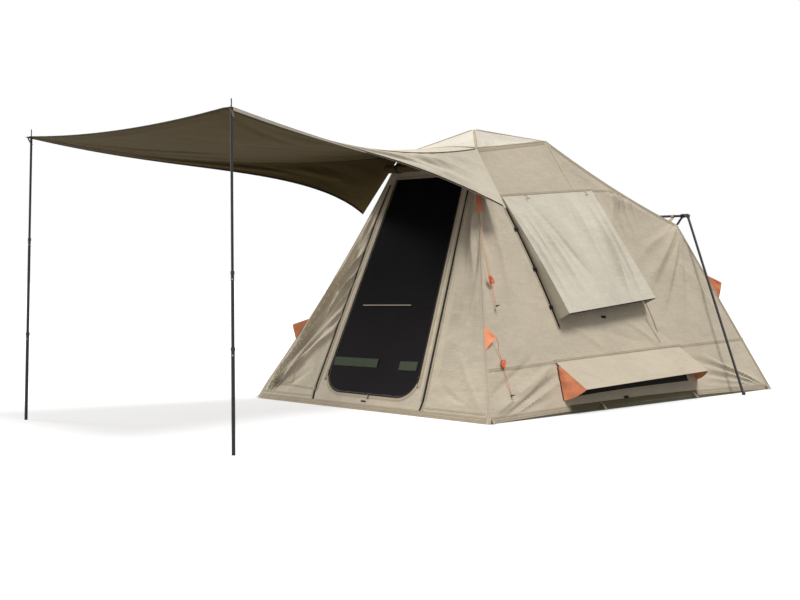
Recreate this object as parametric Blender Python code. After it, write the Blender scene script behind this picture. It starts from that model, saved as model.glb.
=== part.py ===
import math

import bmesh
import bpy
import numpy as np
from mathutils import Matrix, Vector

for old in list(bpy.data.objects):
    bpy.data.objects.remove(old, do_unlink=True)

# Sizes are in metres. Setbacks are measured from the front base line, along +Y.

# Canvas body
floor_width = 2.57
floor_length = 3.78
cabin_length = 2.50
front_shoulder_half_width = 0.42
front_shoulder_setback = 0.82
front_shoulder_height = 2.01
rear_shoulder_setback = 1.73
rear_shoulder_height = 2.13
rear_eave_setback = 3.23
rear_eave_height = 1.465
peak_setback = 1.25
peak_height = 2.225
front_edge_rise = 0.035
front_corner_draw = 0.050
draw_share = 0.1
rear_hip_sag = 0.05
side_hem_lift = 0.028
roof_flank_sag = 0.022
canvas_thickness = 0.002
floor_upstand = 0.09
touch_gap = 0.0003
flat_hem = 0.068
flat_head = 0.86
front_middle = 2

# Doorway, mesh door and rolled canvas door
door_bottom = 0.125
door_top = 1.80
door_half_width_low = 0.505
door_half_width_high = 0.365
door_corner_radius = 0.19
mesh_thickness = 0.0012
roll_radius = 0.037
roll_core_radius = 0.011
roll_turns = 3
roll_cloth = 0.0042
roll_half_length = 0.485
roll_height = 1.874
tie_width = 0.028
tie_thickness = 0.0016
tie_inset = 0.135
tie_sides = 24

# Side window hoods and floor vent hoods
window_front_setback = 0.934
window_front_height = 1.630
window_rear_setback = 2.130
window_rear_height = 1.728
window_flap_drop = 1.045
window_flap_lean = 0.095
window_flap_open = 6.6
window_edge_curve = 0.022
window_mesh_top = 0.10
window_mesh_bottom = 0.80
window_mesh_inset = 0.11
vent_front_setback = 0.930
vent_front_height = 0.372
vent_rear_setback = 2.590
vent_rear_height = 0.418
vent_flap_drop = 0.325
vent_flap_lean = 0.02
vent_flap_open = 31.5
vent_mesh_top = 0.035
vent_mesh_bottom = 0.215
vent_mesh_inset = 0.045
vent_gusset_drop = 0.295
vent_gusset_flare = 0.075
window_gusset_flare = 0.0
flap_thickness = 0.002
flap_standoff = 0.0006
gusset_thickness = 0.0016
gusset_gap = 0.0006
gusset_start = 0.035

# Awning
pole_top_half_width = 1.175
pole_top_reach = 2.101
awning_margin = 0.030
awning_height = 2.007
awning_hem_sag = 0.045
awning_crease_sag = 0.120
awning_centre_sag = 0.085
awning_tip_half_width = 0.797
awning_tip_setback = 0.741
awning_tip_height = 1.530
awning_edge_in = 0.160
awning_edge_up = 0.095
awning_thickness = 0.002
awning_pole_place = 1.5
eyelet_radius = 0.0055

# Telescoping awning poles
pole_splay_side = 0.050
pole_splay_front = 0.030
pole_lower_radius = 0.0112
pole_wall = 0.0011
pole_slide_clearance = 0.0004
pole_lower_length = 0.620
pole_middle_length = 0.800
pole_upper_length = 1.060
pole_middle_top_left = 1.290
pole_middle_top_right = 1.060
spike_radius = 0.0036
spike_length = 0.062
pole_seat_gap = 0.0014

# Frame under the canvas
frame_tube_radius = 0.0125
frame_clearance = 0.052
hub_radius = 0.062
hub_height = 0.046
hub_clearance = 0.022
hub_edge_fall = 0.006
hub_slot_width = 0.0112
tang_thickness = 0.0100
tang_height = 0.024
tang_reach = 0.034
knuckle_radius = 0.021
frame_foot_radius = 0.019

# Frame behind the tent
rear_joint_out = 0.0455
rear_joint_back = 0.100
rear_joint_up = 0.085
rear_foot_half_width = 1.400
rear_foot_setback = 3.125
crossbar_radius = 0.0110
rear_leg_radius = 0.0110
fork_gap = 0.0166
fork_plate = 0.0060
fork_radius = 0.0170
fork_pin_radius = 0.0040
fork_pin_clearance = 0.0004
sleeve_radius = 0.0150
sleeve_length = 0.050
rear_foot_radius = 0.0150
rear_foot_height = 0.022
strap_width = 0.026
strap_thickness = 0.0024
web_width_top = 0.030
web_width_bottom = 0.075
web_offset = 0.155

# Reflectors and guy ropes
reflector_low = 0.49
reflector_high = 0.66
rear_reflector_low = 0.81
rear_reflector_high = 1.02
reflector_reach = 0.085
reflector_thickness = 0.0018
upper_rope_height = 1.497
rope_radius = 0.0019
runner_length = 0.062
runner_width = 0.020
runner_thickness = 0.010
runner_hole_radius = 0.0027

half_width = floor_width / 2
side_lean = (half_width - front_shoulder_half_width) / front_shoulder_height

# The joint behind each eave corner of the rear roof
rear_joint_half_width = half_width - side_lean * rear_eave_height + rear_joint_out
rear_joint_setback = rear_eave_setback + rear_joint_back
rear_joint_height = rear_eave_height + rear_joint_up


def place(x, setback, z):
    return Vector((x, setback - floor_length / 2, z))


# Materials


def linear(level):
    level = level / 255
    return level / 12.92 if level <= 0.04045 else ((level + 0.055) / 1.055) ** 2.4


def material(name, rgb, roughness, metallic=0.0):
    made = bpy.data.materials.get(name)
    if made is None:
        made = bpy.data.materials.new(name)
        made.use_nodes = True
        shader = made.node_tree.nodes["Principled BSDF"]
        shader.inputs["Base Color"].default_value = [linear(c) for c in rgb] + [1]
        shader.inputs["Roughness"].default_value = roughness
        shader.inputs["Metallic"].default_value = metallic
        made.diffuse_color = [linear(c) for c in rgb] + [1]
    return made


def canvas():
    return material("canvas", (196, 183, 158), 0.88)


def roof_canvas():
    return material("roof_canvas", (204, 193, 170), 0.88)


def awning_canvas():
    return material("awning_canvas", (186, 174, 148), 0.88)


def orange_cloth():
    return material("orange_cloth", (250, 112, 66), 0.7)


def netting():
    return material("netting", (22, 20, 24), 0.8)


def floor_sheet():
    return material("floor_sheet", (92, 88, 72), 0.6)


def black_tube():
    return material("black_tube", (34, 34, 38), 0.42, 0.35)


def leg_tube():
    return material("leg_tube", (92, 92, 96), 0.4, 0.4)


def black_plastic():
    return material("black_plastic", (24, 24, 26), 0.5)


def webbing():
    return material("webbing", (178, 168, 146), 0.85)


def black_webbing():
    return material("black_webbing", (30, 29, 30), 0.8)


def orange_rope():
    return material("orange_rope", (244, 104, 58), 0.75)


def orange_plastic():
    return material("orange_plastic", (246, 104, 50), 0.45)


# Mesh helpers


def add_object(name, form, look, origin=None, smooth=None):
    """Makes the object from a bmesh in world space; its origin goes to the given point."""
    bmesh.ops.remove_doubles(form, verts=form.verts, dist=1e-6)
    bmesh.ops.recalc_face_normals(form, faces=form.faces)
    origin = origin or Vector((0, 0, 0))
    bmesh.ops.translate(form, verts=form.verts, vec=-origin)
    mesh = bpy.data.meshes.new(name)
    form.to_mesh(mesh)
    form.free()
    mesh.materials.append(look)
    if smooth is not None:
        mesh.shade_smooth()
        mesh.set_sharp_from_angle(angle=math.radians(smooth))
    made = bpy.data.objects.new(name, mesh)
    made.location = origin
    bpy.context.collection.objects.link(made)
    return made


def boolean(target, tool, operation="DIFFERENCE"):
    tool.hide_render = True
    tool.display_type = "WIRE"
    step = target.modifiers.new(operation.title(), "BOOLEAN")
    step.operation = operation
    step.solver = "EXACT"
    step.object = tool
    return target


def empty(name, location):
    made = bpy.data.objects.new(name, None)
    made.location = location
    made.empty_display_size = 0.05
    bpy.context.collection.objects.link(made)
    return made


def hang_on(child, parent):
    """Parents an object and leaves it where it is."""
    child.parent = parent
    child.matrix_parent_inverse = Matrix.Translation(-parent.location)


def grid_body(form, front, back):
    """A closed sheet between two grids of points that have the same rows and columns."""
    rows = len(front)
    columns = len(front[0])
    one = [[form.verts.new(p) for p in row] for row in front]
    two = [[form.verts.new(p) for p in row] for row in back]
    for i in range(rows - 1):
        for j in range(columns - 1):
            form.faces.new((one[i][j], one[i][j + 1], one[i + 1][j + 1], one[i + 1][j]))
            form.faces.new((two[i][j], two[i + 1][j], two[i + 1][j + 1], two[i][j + 1]))
    for i in range(rows - 1):
        form.faces.new((one[i][0], one[i + 1][0], two[i + 1][0], two[i][0]))
        form.faces.new((one[i + 1][-1], one[i][-1], two[i][-1], two[i + 1][-1]))
    for j in range(columns - 1):
        form.faces.new((one[0][j + 1], one[0][j], two[0][j], two[0][j + 1]))
        form.faces.new((one[-1][j], one[-1][j + 1], two[-1][j + 1], two[-1][j]))


def prism(form, outline, depth):
    """A closed body from a flat outline of points, swept along the depth vector."""
    near = [form.verts.new(p) for p in outline]
    far = [form.verts.new(p + depth) for p in outline]
    form.faces.new(near)
    form.faces.new(list(reversed(far)))
    count = len(outline)
    for i in range(count):
        j = (i + 1) % count
        form.faces.new((near[j], near[i], far[i], far[j]))


def axes_along(direction):
    """Two unit vectors across a direction."""
    along = direction.normalized()
    side = along.cross(Vector((0, 1, 0)))
    if side.length < 0.1:
        side = along.cross(Vector((1, 0, 0)))
    side.normalize()
    return side, along.cross(side)


def lathe(form, start, direction, profile, sides=16, closed=False):
    """Turns (radius, distance) points about the axis; closed joins the last to the first."""
    along = direction.normalized()
    side, other = axes_along(direction)
    rings = []
    for radius, distance in profile:
        centre = start + along * distance
        if radius < 1e-7:
            rings.append([form.verts.new(centre)])
            continue
        ring = []
        for k in range(sides):
            turn = 2 * math.pi * k / sides
            ring.append(
                form.verts.new(
                    centre + side * (radius * math.cos(turn)) + other * (radius * math.sin(turn))
                )
            )
        rings.append(ring)
    pairs = list(zip(rings, rings[1:]))
    if closed:
        pairs.append((rings[-1], rings[0]))
    for low, high in pairs:
        for k in range(sides):
            m = (k + 1) % sides
            if len(low) == 1 and len(high) > 1:
                form.faces.new((low[0], high[k], high[m]))
            elif len(high) == 1 and len(low) > 1:
                form.faces.new((low[m], low[k], high[0]))
            elif len(low) > 1:
                form.faces.new((low[k], low[m], high[m], high[k]))


def rod(form, start, end, radius, sides=16):
    length = (end - start).length
    lathe(form, start, end - start, [(0, 0), (radius, 0), (radius, length), (0, length)], sides)


def box(form, centre, x_axis, y_axis, z_axis, size):
    """A box centred on a point, with its three edges along the given unit vectors."""
    corners = []
    for a, b in ((-1, -1), (1, -1), (1, 1), (-1, 1)):
        corners.append(
            centre + x_axis * (a * size[0] / 2) + y_axis * (b * size[1] / 2) - z_axis * (size[2] / 2)
        )
    prism(form, corners, z_axis * size[2])


# Canvas body: the tent is a polyhedron, and each panel is a sheet between an outer and an
# inner net of the same corners. Neighbours meet on the line between outer and inner corner.


def face_normal(a, b, c, inside):
    normal = (b - a).cross(c - a).normalized()
    return -normal if normal.dot(inside - a) > 0 else normal


def outer_corner(key, side):
    """A named corner of the canvas body on one side, +1 or -1."""
    where = {
        "base_front": (half_width, 0.0, 0.0),
        "base_cabin": (half_width, cabin_length, 0.0),
        "base_rear": (half_width, floor_length, 0.0),
        "shoulder_front": (
            front_shoulder_half_width,
            front_shoulder_setback,
            front_shoulder_height,
        ),
        "shoulder_rear": (
            half_width - side_lean * rear_shoulder_height,
            rear_shoulder_setback,
            rear_shoulder_height,
        ),
        "eave_rear": (
            half_width - side_lean * rear_eave_height,
            rear_eave_setback,
            rear_eave_height,
        ),
    }[key]
    return place(side * where[0], where[1], where[2])


peak = place(0, peak_setback, peak_height)
middle = place(0, floor_length / 2, front_shoulder_height / 2)


def side_normal(side):
    return face_normal(
        outer_corner("base_front", side),
        outer_corner("base_rear", side),
        outer_corner("shoulder_front", side),
        middle,
    )


front_normal = face_normal(
    outer_corner("base_front", 1),
    outer_corner("base_front", -1),
    outer_corner("shoulder_front", 1),
    middle,
)
rear_normal = face_normal(
    outer_corner("base_rear", 1),
    outer_corner("base_rear", -1),
    outer_corner("eave_rear", 1),
    middle,
)
slope_normal = face_normal(
    outer_corner("shoulder_rear", 1),
    outer_corner("shoulder_rear", -1),
    outer_corner("eave_rear", 1),
    middle,
)
top_front_normal = face_normal(
    peak, outer_corner("shoulder_front", 1), outer_corner("shoulder_front", -1), middle
)
top_rear_normal = face_normal(
    peak, outer_corner("shoulder_rear", 1), outer_corner("shoulder_rear", -1), middle
)


def top_side_normal(side):
    return face_normal(
        peak, outer_corner("shoulder_front", side), outer_corner("shoulder_rear", side), middle
    )


def meeting_planes(key, side):
    """The panels that meet at a corner, as (normal, whether the panel's thickness counts)."""
    up = Vector((0, 0, 1))
    along = Vector((0, 1, 0))
    return {
        "base_front": [(side_normal(side), 1), (front_normal, 1), (up, 0)],
        "base_cabin": [(side_normal(side), 1), (along, 0), (up, 0)],
        "base_rear": [(side_normal(side), 1), (rear_normal, 1), (up, 0)],
        "shoulder_front": [
            (side_normal(side), 1),
            (front_normal, 1),
            (top_front_normal, 1),
            (top_side_normal(side), 1),
        ],
        "shoulder_rear": [
            (side_normal(side), 1),
            (slope_normal, 1),
            (top_rear_normal, 1),
            (top_side_normal(side), 1),
        ],
        "eave_rear": [(side_normal(side), 1), (rear_normal, 1), (slope_normal, 1)],
    }[key]


def corner(key, side, depth=0.0):
    """The named corner, moved inwards so that it lies depth under every panel there."""
    point = outer_corner(key, side)
    if depth == 0:
        return point
    planes = meeting_planes(key, side)
    normals = np.array([n[:] for n, _ in planes])
    shifts = np.array([-depth * counts for _, counts in planes])
    return point + Vector(np.linalg.lstsq(normals, shifts, rcond=None)[0].tolist())


def peak_at(depth):
    return peak - Vector((0, 0, depth / top_side_normal(1).z))


def bowed(start, end, bow, parts=4):
    """Points from start to end on a parabola that reaches the bow vector halfway."""
    points = []
    for i in range(parts + 1):
        f = i / parts
        points.append(start.lerp(end, f) + bow * (4 * f * (1 - f)))
    return points


def free_share(v, top=1.0):
    """How far up the loose part of a wall a row lies, between the floor sheet and the top."""
    return min(1.0, max(0.0, (v - flat_hem) / (top - flat_hem)))


def drawn_corner(side, v):
    """How far the front corner seam is drawn in at a share of its height."""
    inward = Vector((-side, 1, 0)).normalized()
    share = free_share(v)
    return inward * (front_corner_draw * 4 * share * (1 - share))


def side_draw(side, u, v):
    """The side wall follows its front seam inwards close to the corner."""
    return drawn_corner(side, v) * max(0.0, 1 - u / draw_share)


def front_draw(u, v):
    """The front wall follows both corner seams in its outer strips."""
    side = 1 if u > front_middle else -1
    share = abs(u - front_middle) / front_middle
    return drawn_corner(side, v) * max(0.0, (share - 0.75) / 0.25)


def up_in_plane(normal):
    up = Vector((0, 0, 1))
    return (up - normal * normal.dot(up)).normalized()


def front_edge(depth):
    """The line between the two front shoulders, lifted in its middle."""
    return bowed(
        corner("shoulder_front", -1, depth),
        corner("shoulder_front", 1, depth),
        up_in_plane(front_normal) * front_edge_rise,
    )


def hip_edge(side, depth):
    """The line from a rear shoulder down to the rear eave corner, which hangs a little."""
    return bowed(
        corner("shoulder_rear", side, depth),
        corner("eave_rear", side, depth),
        up_in_plane(side_normal(side)) * -rear_hip_sag,
    )


def hem_point(side, setback, depth):
    """A point of the side wall's hem, which is pegged down at both ends."""
    share = setback / floor_length
    start = corner("base_front", side, depth)
    end = corner("base_rear", side, depth)
    point = start.lerp(end, share)
    lift = side_hem_lift * 4 * share * (1 - share)
    up = up_in_plane(side_normal(side))
    return point + up * (lift / up.z)


def side_net(side, depth):
    """Two rows of points, the hem and the top edge, from the front corner to the rear one."""
    top = [corner("shoulder_front", side, depth)] + hip_edge(side, depth)
    low = [hem_point(side, 0, depth)]
    for i in range(5):
        setback = cabin_length + (floor_length - cabin_length) * i / 4
        low.append(hem_point(side, setback, depth))
    return [low, top]


def front_net(depth):
    low = bowed(
        corner("base_front", -1, depth), corner("base_front", 1, depth), Vector((0, 0, 0))
    )
    return [low, front_edge(depth)]


def rear_net(depth):
    low = [corner("base_rear", -1, depth), corner("base_rear", 1, depth)]
    return [low, [corner("eave_rear", -1, depth), corner("eave_rear", 1, depth)]]


def slope_net(depth):
    left = hip_edge(-1, depth)
    right = hip_edge(1, depth)
    return [[a, b] for a, b in zip(left, right)]


def top_net(depth):
    """Five rows from the front edge over the peak to the rear edge; the canvas is straight
    over the four rafters and hollow between them."""
    front = front_edge(depth)
    rear = bowed(
        corner("shoulder_rear", -1, depth), corner("shoulder_rear", 1, depth), Vector((0, 0, 0))
    )
    left = bowed(front[0], rear[0], Vector((0, 0, 0)))
    right = bowed(front[-1], rear[-1], Vector((0, 0, 0)))
    top = peak_at(depth)
    rows = [front]
    for i in (1, 2, 3):
        row = [left[i]]
        for j in (1, 2, 3):
            edge = {0: left, 4: right}.get(2 + 2 * (j - 2), None)
            if i == 2 and j == 2:
                row.append(top)
                continue
            if i == 2:
                outer = edge[2]
            else:
                outer = (front if i == 1 else rear)[2 + 2 * (j - 2)]
            sag = 0 if i != 2 and j != 2 else roof_flank_sag
            row.append(top.lerp(outer, 0.5) - Vector((0, 0, sag)))
        row.append(right[i])
        rows.append(row)
    rows.append(rear)
    return rows


def on_net(net, u, v):
    """The point at column u and row v of a net, both counted from 0 and not whole numbers."""
    i = min(int(v), len(net) - 2)
    j = min(int(u), len(net[0]) - 2)
    low = net[i][j].lerp(net[i][j + 1], u - j)
    high = net[i + 1][j].lerp(net[i + 1][j + 1], u - j)
    return low.lerp(high, v - i)


def steps(stops, counts):
    """Numbers from the first stop to the last, with so many equal steps in each stretch."""
    made = [stops[0]]
    for start, end, count in zip(stops, stops[1:], counts):
        made += [start + (end - start) * (k + 1) / count for k in range(count)]
    return made


def drawn_in(grid, gap):
    """The grid with its four edges moved inwards by half the gap."""
    rows = len(grid)
    columns = len(grid[0])
    moved = [[p.copy() for p in row] for row in grid]

    def pull(i, j, inner, before, after):
        toward = inner - grid[i][j]
        along = (after - before).normalized()
        across = toward - along * toward.dot(along)
        moved[i][j] += toward * (gap / 2 / across.length)

    for i in range(rows):
        low = max(i - 1, 0)
        high = min(i + 1, rows - 1)
        pull(i, 0, grid[i][1], grid[low][0], grid[high][0])
        pull(i, columns - 1, grid[i][-2], grid[low][-1], grid[high][-1])
    for j in range(columns):
        low = max(j - 1, 0)
        high = min(j + 1, columns - 1)
        pull(0, j, grid[1][j], grid[0][low], grid[0][high])
        pull(rows - 1, j, grid[-2][j], grid[-1][low], grid[-1][high])
    return moved


def panel(name, net_at, columns, rows, look, normal=None, relief=None, draw=None):
    """A canvas panel; relief gives its folds as a height at each (column, row), and draw
    moves its points with a seam that isn't straight."""
    grids = []
    for depth in (0.0, canvas_thickness):
        net = net_at(depth)
        grid = []
        for v in rows:
            row = []
            for u in columns:
                point = on_net(net, u, v)
                if relief:
                    point = point + normal * relief(u, v)
                if draw:
                    point = point + draw(u, v)
                row.append(point)
            grid.append(row)
        grids.append(drawn_in(grid, touch_gap))
    form = bmesh.new()
    grid_body(form, grids[0], grids[1])
    return add_object(name, form, look, smooth=30)


def fold(distance, width, height):
    """The height of a soft ridge at a distance from its crest."""
    return height * math.exp(-((distance / width) ** 2))


def rear_side_relief(u, v):
    """Broad folds of the side wall behind the cabin leg, drawn from hem to eave corner."""
    f = max(0.0, u - 1) / 4
    fade = math.sin(math.pi * min(1, f)) * math.sin(math.pi * free_share(v)) ** 0.7
    diagonal = f - 0.35 - 0.45 * v
    return fade * (fold(diagonal, 0.16, 0.022) - fold(diagonal + 0.3, 0.16, 0.014) - 0.014)


def front_relief(u, v):
    """Upright folds beside the doorway that fan out from the shoulders."""
    share = free_share(v, flat_head)
    height = front_shoulder_height * v
    across = half_width - (half_width - front_shoulder_half_width) * v
    door = door_half_width_low
    door += (door_half_width_high - door) * min(1, height / door_top)
    start = door / across + 0.13
    x = abs(u - front_middle) / front_middle
    if share <= 0 or share >= 1 or x <= start:
        return 0.0
    f = (x - start) / (1 - start)
    wave = math.sin(3 * math.pi * f) * math.sin(math.pi * f) ** 0.4
    return 0.012 * wave * math.sin(math.pi * share) ** 0.6


def rear_relief(u, v):
    return -0.03 * math.sin(math.pi * u) * math.sin(math.pi * free_share(v))


def slope_relief(u, v):
    return -0.025 * math.sin(math.pi * u) * math.sin(math.pi * v / 4)


def wall_side(name, side):
    columns = steps([0, 1, 5], [10, 8])
    rows = steps([0, flat_hem, 1], [1, 9])
    made = panel(
        name,
        lambda depth: side_net(side, depth),
        columns,
        rows,
        canvas(),
        side_normal(side),
        rear_side_relief,
        lambda u, v: side_draw(side, u, v),
    )
    for part, hood in (("window", window_hood(side)), ("vent", vent_hood(side))):
        form = bmesh.new()
        prism(
            form,
            [p - hood["out"] * 0.03 for p in mesh_outline(hood, 0)],
            hood["out"] * 0.06,
        )
        boolean(made, add_object("cut_" + part + "_" + name, form, canvas()))
    return made


def wall_front():
    columns = steps([0, 1, 2, 3, 4], [4, 3, 3, 4])
    rows = steps([0, flat_hem, flat_head, 1], [1, 8, 1])
    made = panel(
        "wall_front",
        front_net,
        columns,
        rows,
        canvas(),
        front_normal,
        front_relief,
        front_draw,
    )
    form = bmesh.new()
    prism(
        form,
        [door_point(x, h) - front_normal * 0.03 for x, h in door_outline(0)],
        front_normal * 0.06,
    )
    boolean(made, add_object("cut_doorway", form, canvas()))
    return made


def wall_rear():
    columns = steps([0, 1], [8])
    rows = steps([0, flat_hem, 1], [1, 6])
    return panel("wall_rear", rear_net, columns, rows, canvas(), rear_normal, rear_relief)


def roof_rear():
    columns = steps([0, 1], [6])
    rows = steps([0, 4], [8])
    return panel("roof_rear", slope_net, columns, rows, roof_canvas(), slope_normal, slope_relief)


def roof_top():
    columns = steps([0, 4], [8])
    rows = steps([0, 4], [8])
    return panel("roof_top", top_net, columns, rows, roof_canvas())


def floor_tray():
    """The floor sheet, turned up inside the walls; it carries the tent on the ground."""
    clear = canvas_thickness + touch_gap
    form = bmesh.new()
    rings = []
    for height in (0.0, floor_upstand):
        ring = []
        for end, side in (("front", -1), ("front", 1), ("rear", 1), ("rear", -1)):
            low = corner("base_" + end, side, clear)
            if end == "front":
                edge = outer_corner("shoulder_front", side) - outer_corner("base_front", side)
            else:
                edge = outer_corner("eave_rear", side) - outer_corner("base_rear", side)
            ring.append(low + edge * (height / edge.z))
        rings.append(ring)
    thickness = canvas_thickness
    inner = []
    for height in (thickness, floor_upstand):
        ring = []
        for end, side in (("front", -1), ("front", 1), ("rear", 1), ("rear", -1)):
            low = corner("base_" + end, side, clear + thickness)
            if end == "front":
                edge = outer_corner("shoulder_front", side) - outer_corner("base_front", side)
            else:
                edge = outer_corner("eave_rear", side) - outer_corner("base_rear", side)
            ring.append(low + edge * (height / edge.z))
        inner.append(ring)
    loops = [[form.verts.new(p) for p in ring] for ring in (*rings, inner[1], inner[0])]
    form.faces.new(list(reversed(loops[0])))
    for low, high in zip(loops, loops[1:]):
        for k in range(4):
            m = (k + 1) % 4
            form.faces.new((low[k], low[m], high[m], high[k]))
    form.faces.new(loops[3])
    return add_object("floor", form, floor_sheet())


# Doorway


def door_point(x, height):
    """A point of the front wall's outer face at a distance up the slope."""
    base = (outer_corner("base_front", 1) + outer_corner("base_front", -1)) / 2
    return base + Vector((x, 0, 0)) + up_in_plane(front_normal) * height


def slope_length(z):
    return z / up_in_plane(front_normal).z


def door_outline(inset):
    """(x, height up the slope) points round the doorway, with rounded lower corners."""
    low = slope_length(door_bottom) + inset
    high = slope_length(door_top) - inset
    radius = door_corner_radius - inset

    def half(height):
        share = (height - low) / (high - low)
        return door_half_width_low + (door_half_width_high - door_half_width_low) * share - inset

    right = [(half(high), high)]
    for k in range(7):
        turn = math.pi / 2 * k / 6
        height = low + radius * (1 - math.sin(turn))
        right.append((half(height) - radius * (1 - math.cos(turn)), height))
    return right + [(-x, h) for x, h in reversed(right)]


def mesh_door():
    """The netting door fills the doorway and lifts about its sewn top edge."""
    form = bmesh.new()
    outline = [door_point(x, h) for x, h in door_outline(touch_gap)]
    prism(form, outline, front_normal * -mesh_thickness)
    hinge = door_point(0, slope_length(door_top) - touch_gap)
    return add_object("mesh_door", form, netting(), origin=hinge)


def tie_radius():
    """The tie's inner radius; its flats clear the roll."""
    return (roll_radius + touch_gap) / math.cos(math.pi / tie_sides)


def roll_axis_point(x):
    """The middle of the rolled door, which lies in its ties against the front wall."""
    stand = tie_radius() + tie_thickness + touch_gap
    return door_point(x, slope_length(roll_height)) + front_normal * stand


def rolled_door():
    """The canvas door wound up on itself as one unbroken sheet."""
    form = bmesh.new()
    up = up_in_plane(front_normal)
    outside = []
    inside = []
    count = 18 * roll_turns
    for k in range(count + 1):
        turn = 2 * math.pi * roll_turns * k / count
        reach = roll_radius - roll_core_radius - roll_cloth
        radius = roll_core_radius + roll_cloth + reach * k / count
        ray = front_normal * math.cos(turn) + up * math.sin(turn)
        outside.append(ray * radius)
        inside.append(ray * (radius - roll_cloth))
    start = roll_axis_point(-roll_half_length)
    outline = [start + p for p in outside] + [start + p for p in reversed(inside)]
    prism(form, outline, Vector((2 * roll_half_length, 0, 0)))
    return add_object("rolled_door", form, canvas(), origin=roll_axis_point(0), smooth=40)


def door_tie(name, side):
    form = bmesh.new()
    low = tie_radius()
    high = low + tie_thickness
    start = roll_axis_point(side * (roll_half_length - tie_inset) - tie_width / 2)
    profile = [(low, 0), (low, tie_width), (high, tie_width), (high, 0)]
    lathe(form, start, Vector((1, 0, 0)), profile, tie_sides, closed=True)
    return add_object(name, form, black_webbing(), smooth=40)


# Hoods: a flap hinged at its top edge, propped out between two gussets


def hood_frame(side, front, rear, drop, lean, opened, curve, top, bottom, inset):
    """The axes and sizes of one hood; front and rear are (setback, height) of its hinge."""
    out = side_normal(side)

    def on_wall(setback, z):
        return place(side * (half_width - side_lean * z), setback, z)

    start = on_wall(*front) + out * flap_standoff
    end = on_wall(*rear) + out * flap_standoff
    along = (end - start).normalized()
    down = along.cross(out)
    if down.z > 0:
        down = -down
    return {
        "start": start,
        "along": along,
        "down": down,
        "out": out,
        "length": (end - start).length,
        "drop": drop,
        "lean": lean,
        "open": math.radians(opened),
        "curve": curve,
        "mesh": (top, bottom, inset),
    }


def window_hood(side):
    return hood_frame(
        side,
        (window_front_setback, window_front_height),
        (window_rear_setback, window_rear_height),
        window_flap_drop,
        window_flap_lean,
        window_flap_open,
        window_edge_curve,
        window_mesh_top,
        window_mesh_bottom,
        window_mesh_inset,
    )


def vent_hood(side):
    return hood_frame(
        side,
        (vent_front_setback, vent_front_height),
        (vent_rear_setback, vent_rear_height),
        vent_flap_drop,
        vent_flap_lean,
        vent_flap_open,
        0.0,
        vent_mesh_top,
        vent_mesh_bottom,
        vent_mesh_inset,
    )


def hood_point(hood, s, distance, angle, lift=0.0):
    """A point at a distance from the hinge, turned out from the wall by the angle."""
    ray = hood["down"] * math.cos(angle) + hood["out"] * math.sin(angle)
    up = hood["out"] * math.cos(angle) - hood["down"] * math.sin(angle)
    return hood["start"] + hood["along"] * s + ray * distance + up * lift


def hood_rows(hood):
    """Distances from the hinge at which the flap and its gussets have their rows."""
    count = 8 if hood["drop"] > 0.6 else 4
    return [0.0] + steps([gusset_start, hood["drop"]], [count])


def hood_edge(hood, end, distance):
    """Where the flap's front (0) or rear (1) edge lies along the hinge at a distance."""
    rows = hood_rows(hood)
    k = 0
    while k < len(rows) - 2 and distance > rows[k + 1]:
        k += 1

    def bend(at):
        f = at / hood["drop"]
        return hood["curve"] * 4 * f * (1 - f) if end == 0 else 0.0

    share = (distance - rows[k]) / (rows[k + 1] - rows[k])
    curved = bend(rows[k]) + (bend(rows[k + 1]) - bend(rows[k])) * share
    return hood["length"] * end + hood["lean"] * distance / hood["drop"] + curved


def mesh_outline(hood, inset):
    """The corners of the netting panel behind the flap, on the wall's outer face."""
    top, bottom, margin = hood["mesh"]
    points = []
    for end, distance in ((0, top), (1, top), (1, bottom), (0, bottom)):
        s = hood_edge(hood, end, distance) + (margin + inset) * (1 - 2 * end)
        if end == 0:
            s = hood["lean"] * distance / hood["drop"] + hood["curve"] + margin + inset
        d = distance + (inset if distance == top else -inset)
        points.append(hood_point(hood, s, d, 0, -flap_standoff))
    return points


def hood_mesh(name, hood):
    form = bmesh.new()
    back = (canvas_thickness - mesh_thickness) / 2
    outline = [p - hood["out"] * back for p in mesh_outline(hood, touch_gap)]
    prism(form, outline, hood["out"] * -mesh_thickness)
    return add_object(name, form, netting())


def hood_flap(name, hood, columns, ripple):
    """The flap; its origin is on the hinge. Ripples die out at its edges."""
    front = []
    back = []
    for distance in hood_rows(hood):
        low = hood_edge(hood, 0, distance)
        high = hood_edge(hood, 1, distance)
        v = distance / hood["drop"]
        outer = []
        inner = []
        for j in range(columns + 1):
            f = j / columns
            s = low + (high - low) * f
            wave = 1 + 0.6 * math.cos(6 * math.pi * (f - 0.25 * v))
            lift = ripple * math.sin(math.pi * v) * math.sin(math.pi * f) * wave
            outer.append(hood_point(hood, s, distance, hood["open"], flap_thickness + lift))
            inner.append(hood_point(hood, s, distance, hood["open"], lift))
        front.append(outer)
        back.append(inner)
    form = bmesh.new()
    grid_body(form, front, back)
    return add_object(name, form, canvas(), origin=hood["start"], smooth=30)


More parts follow.
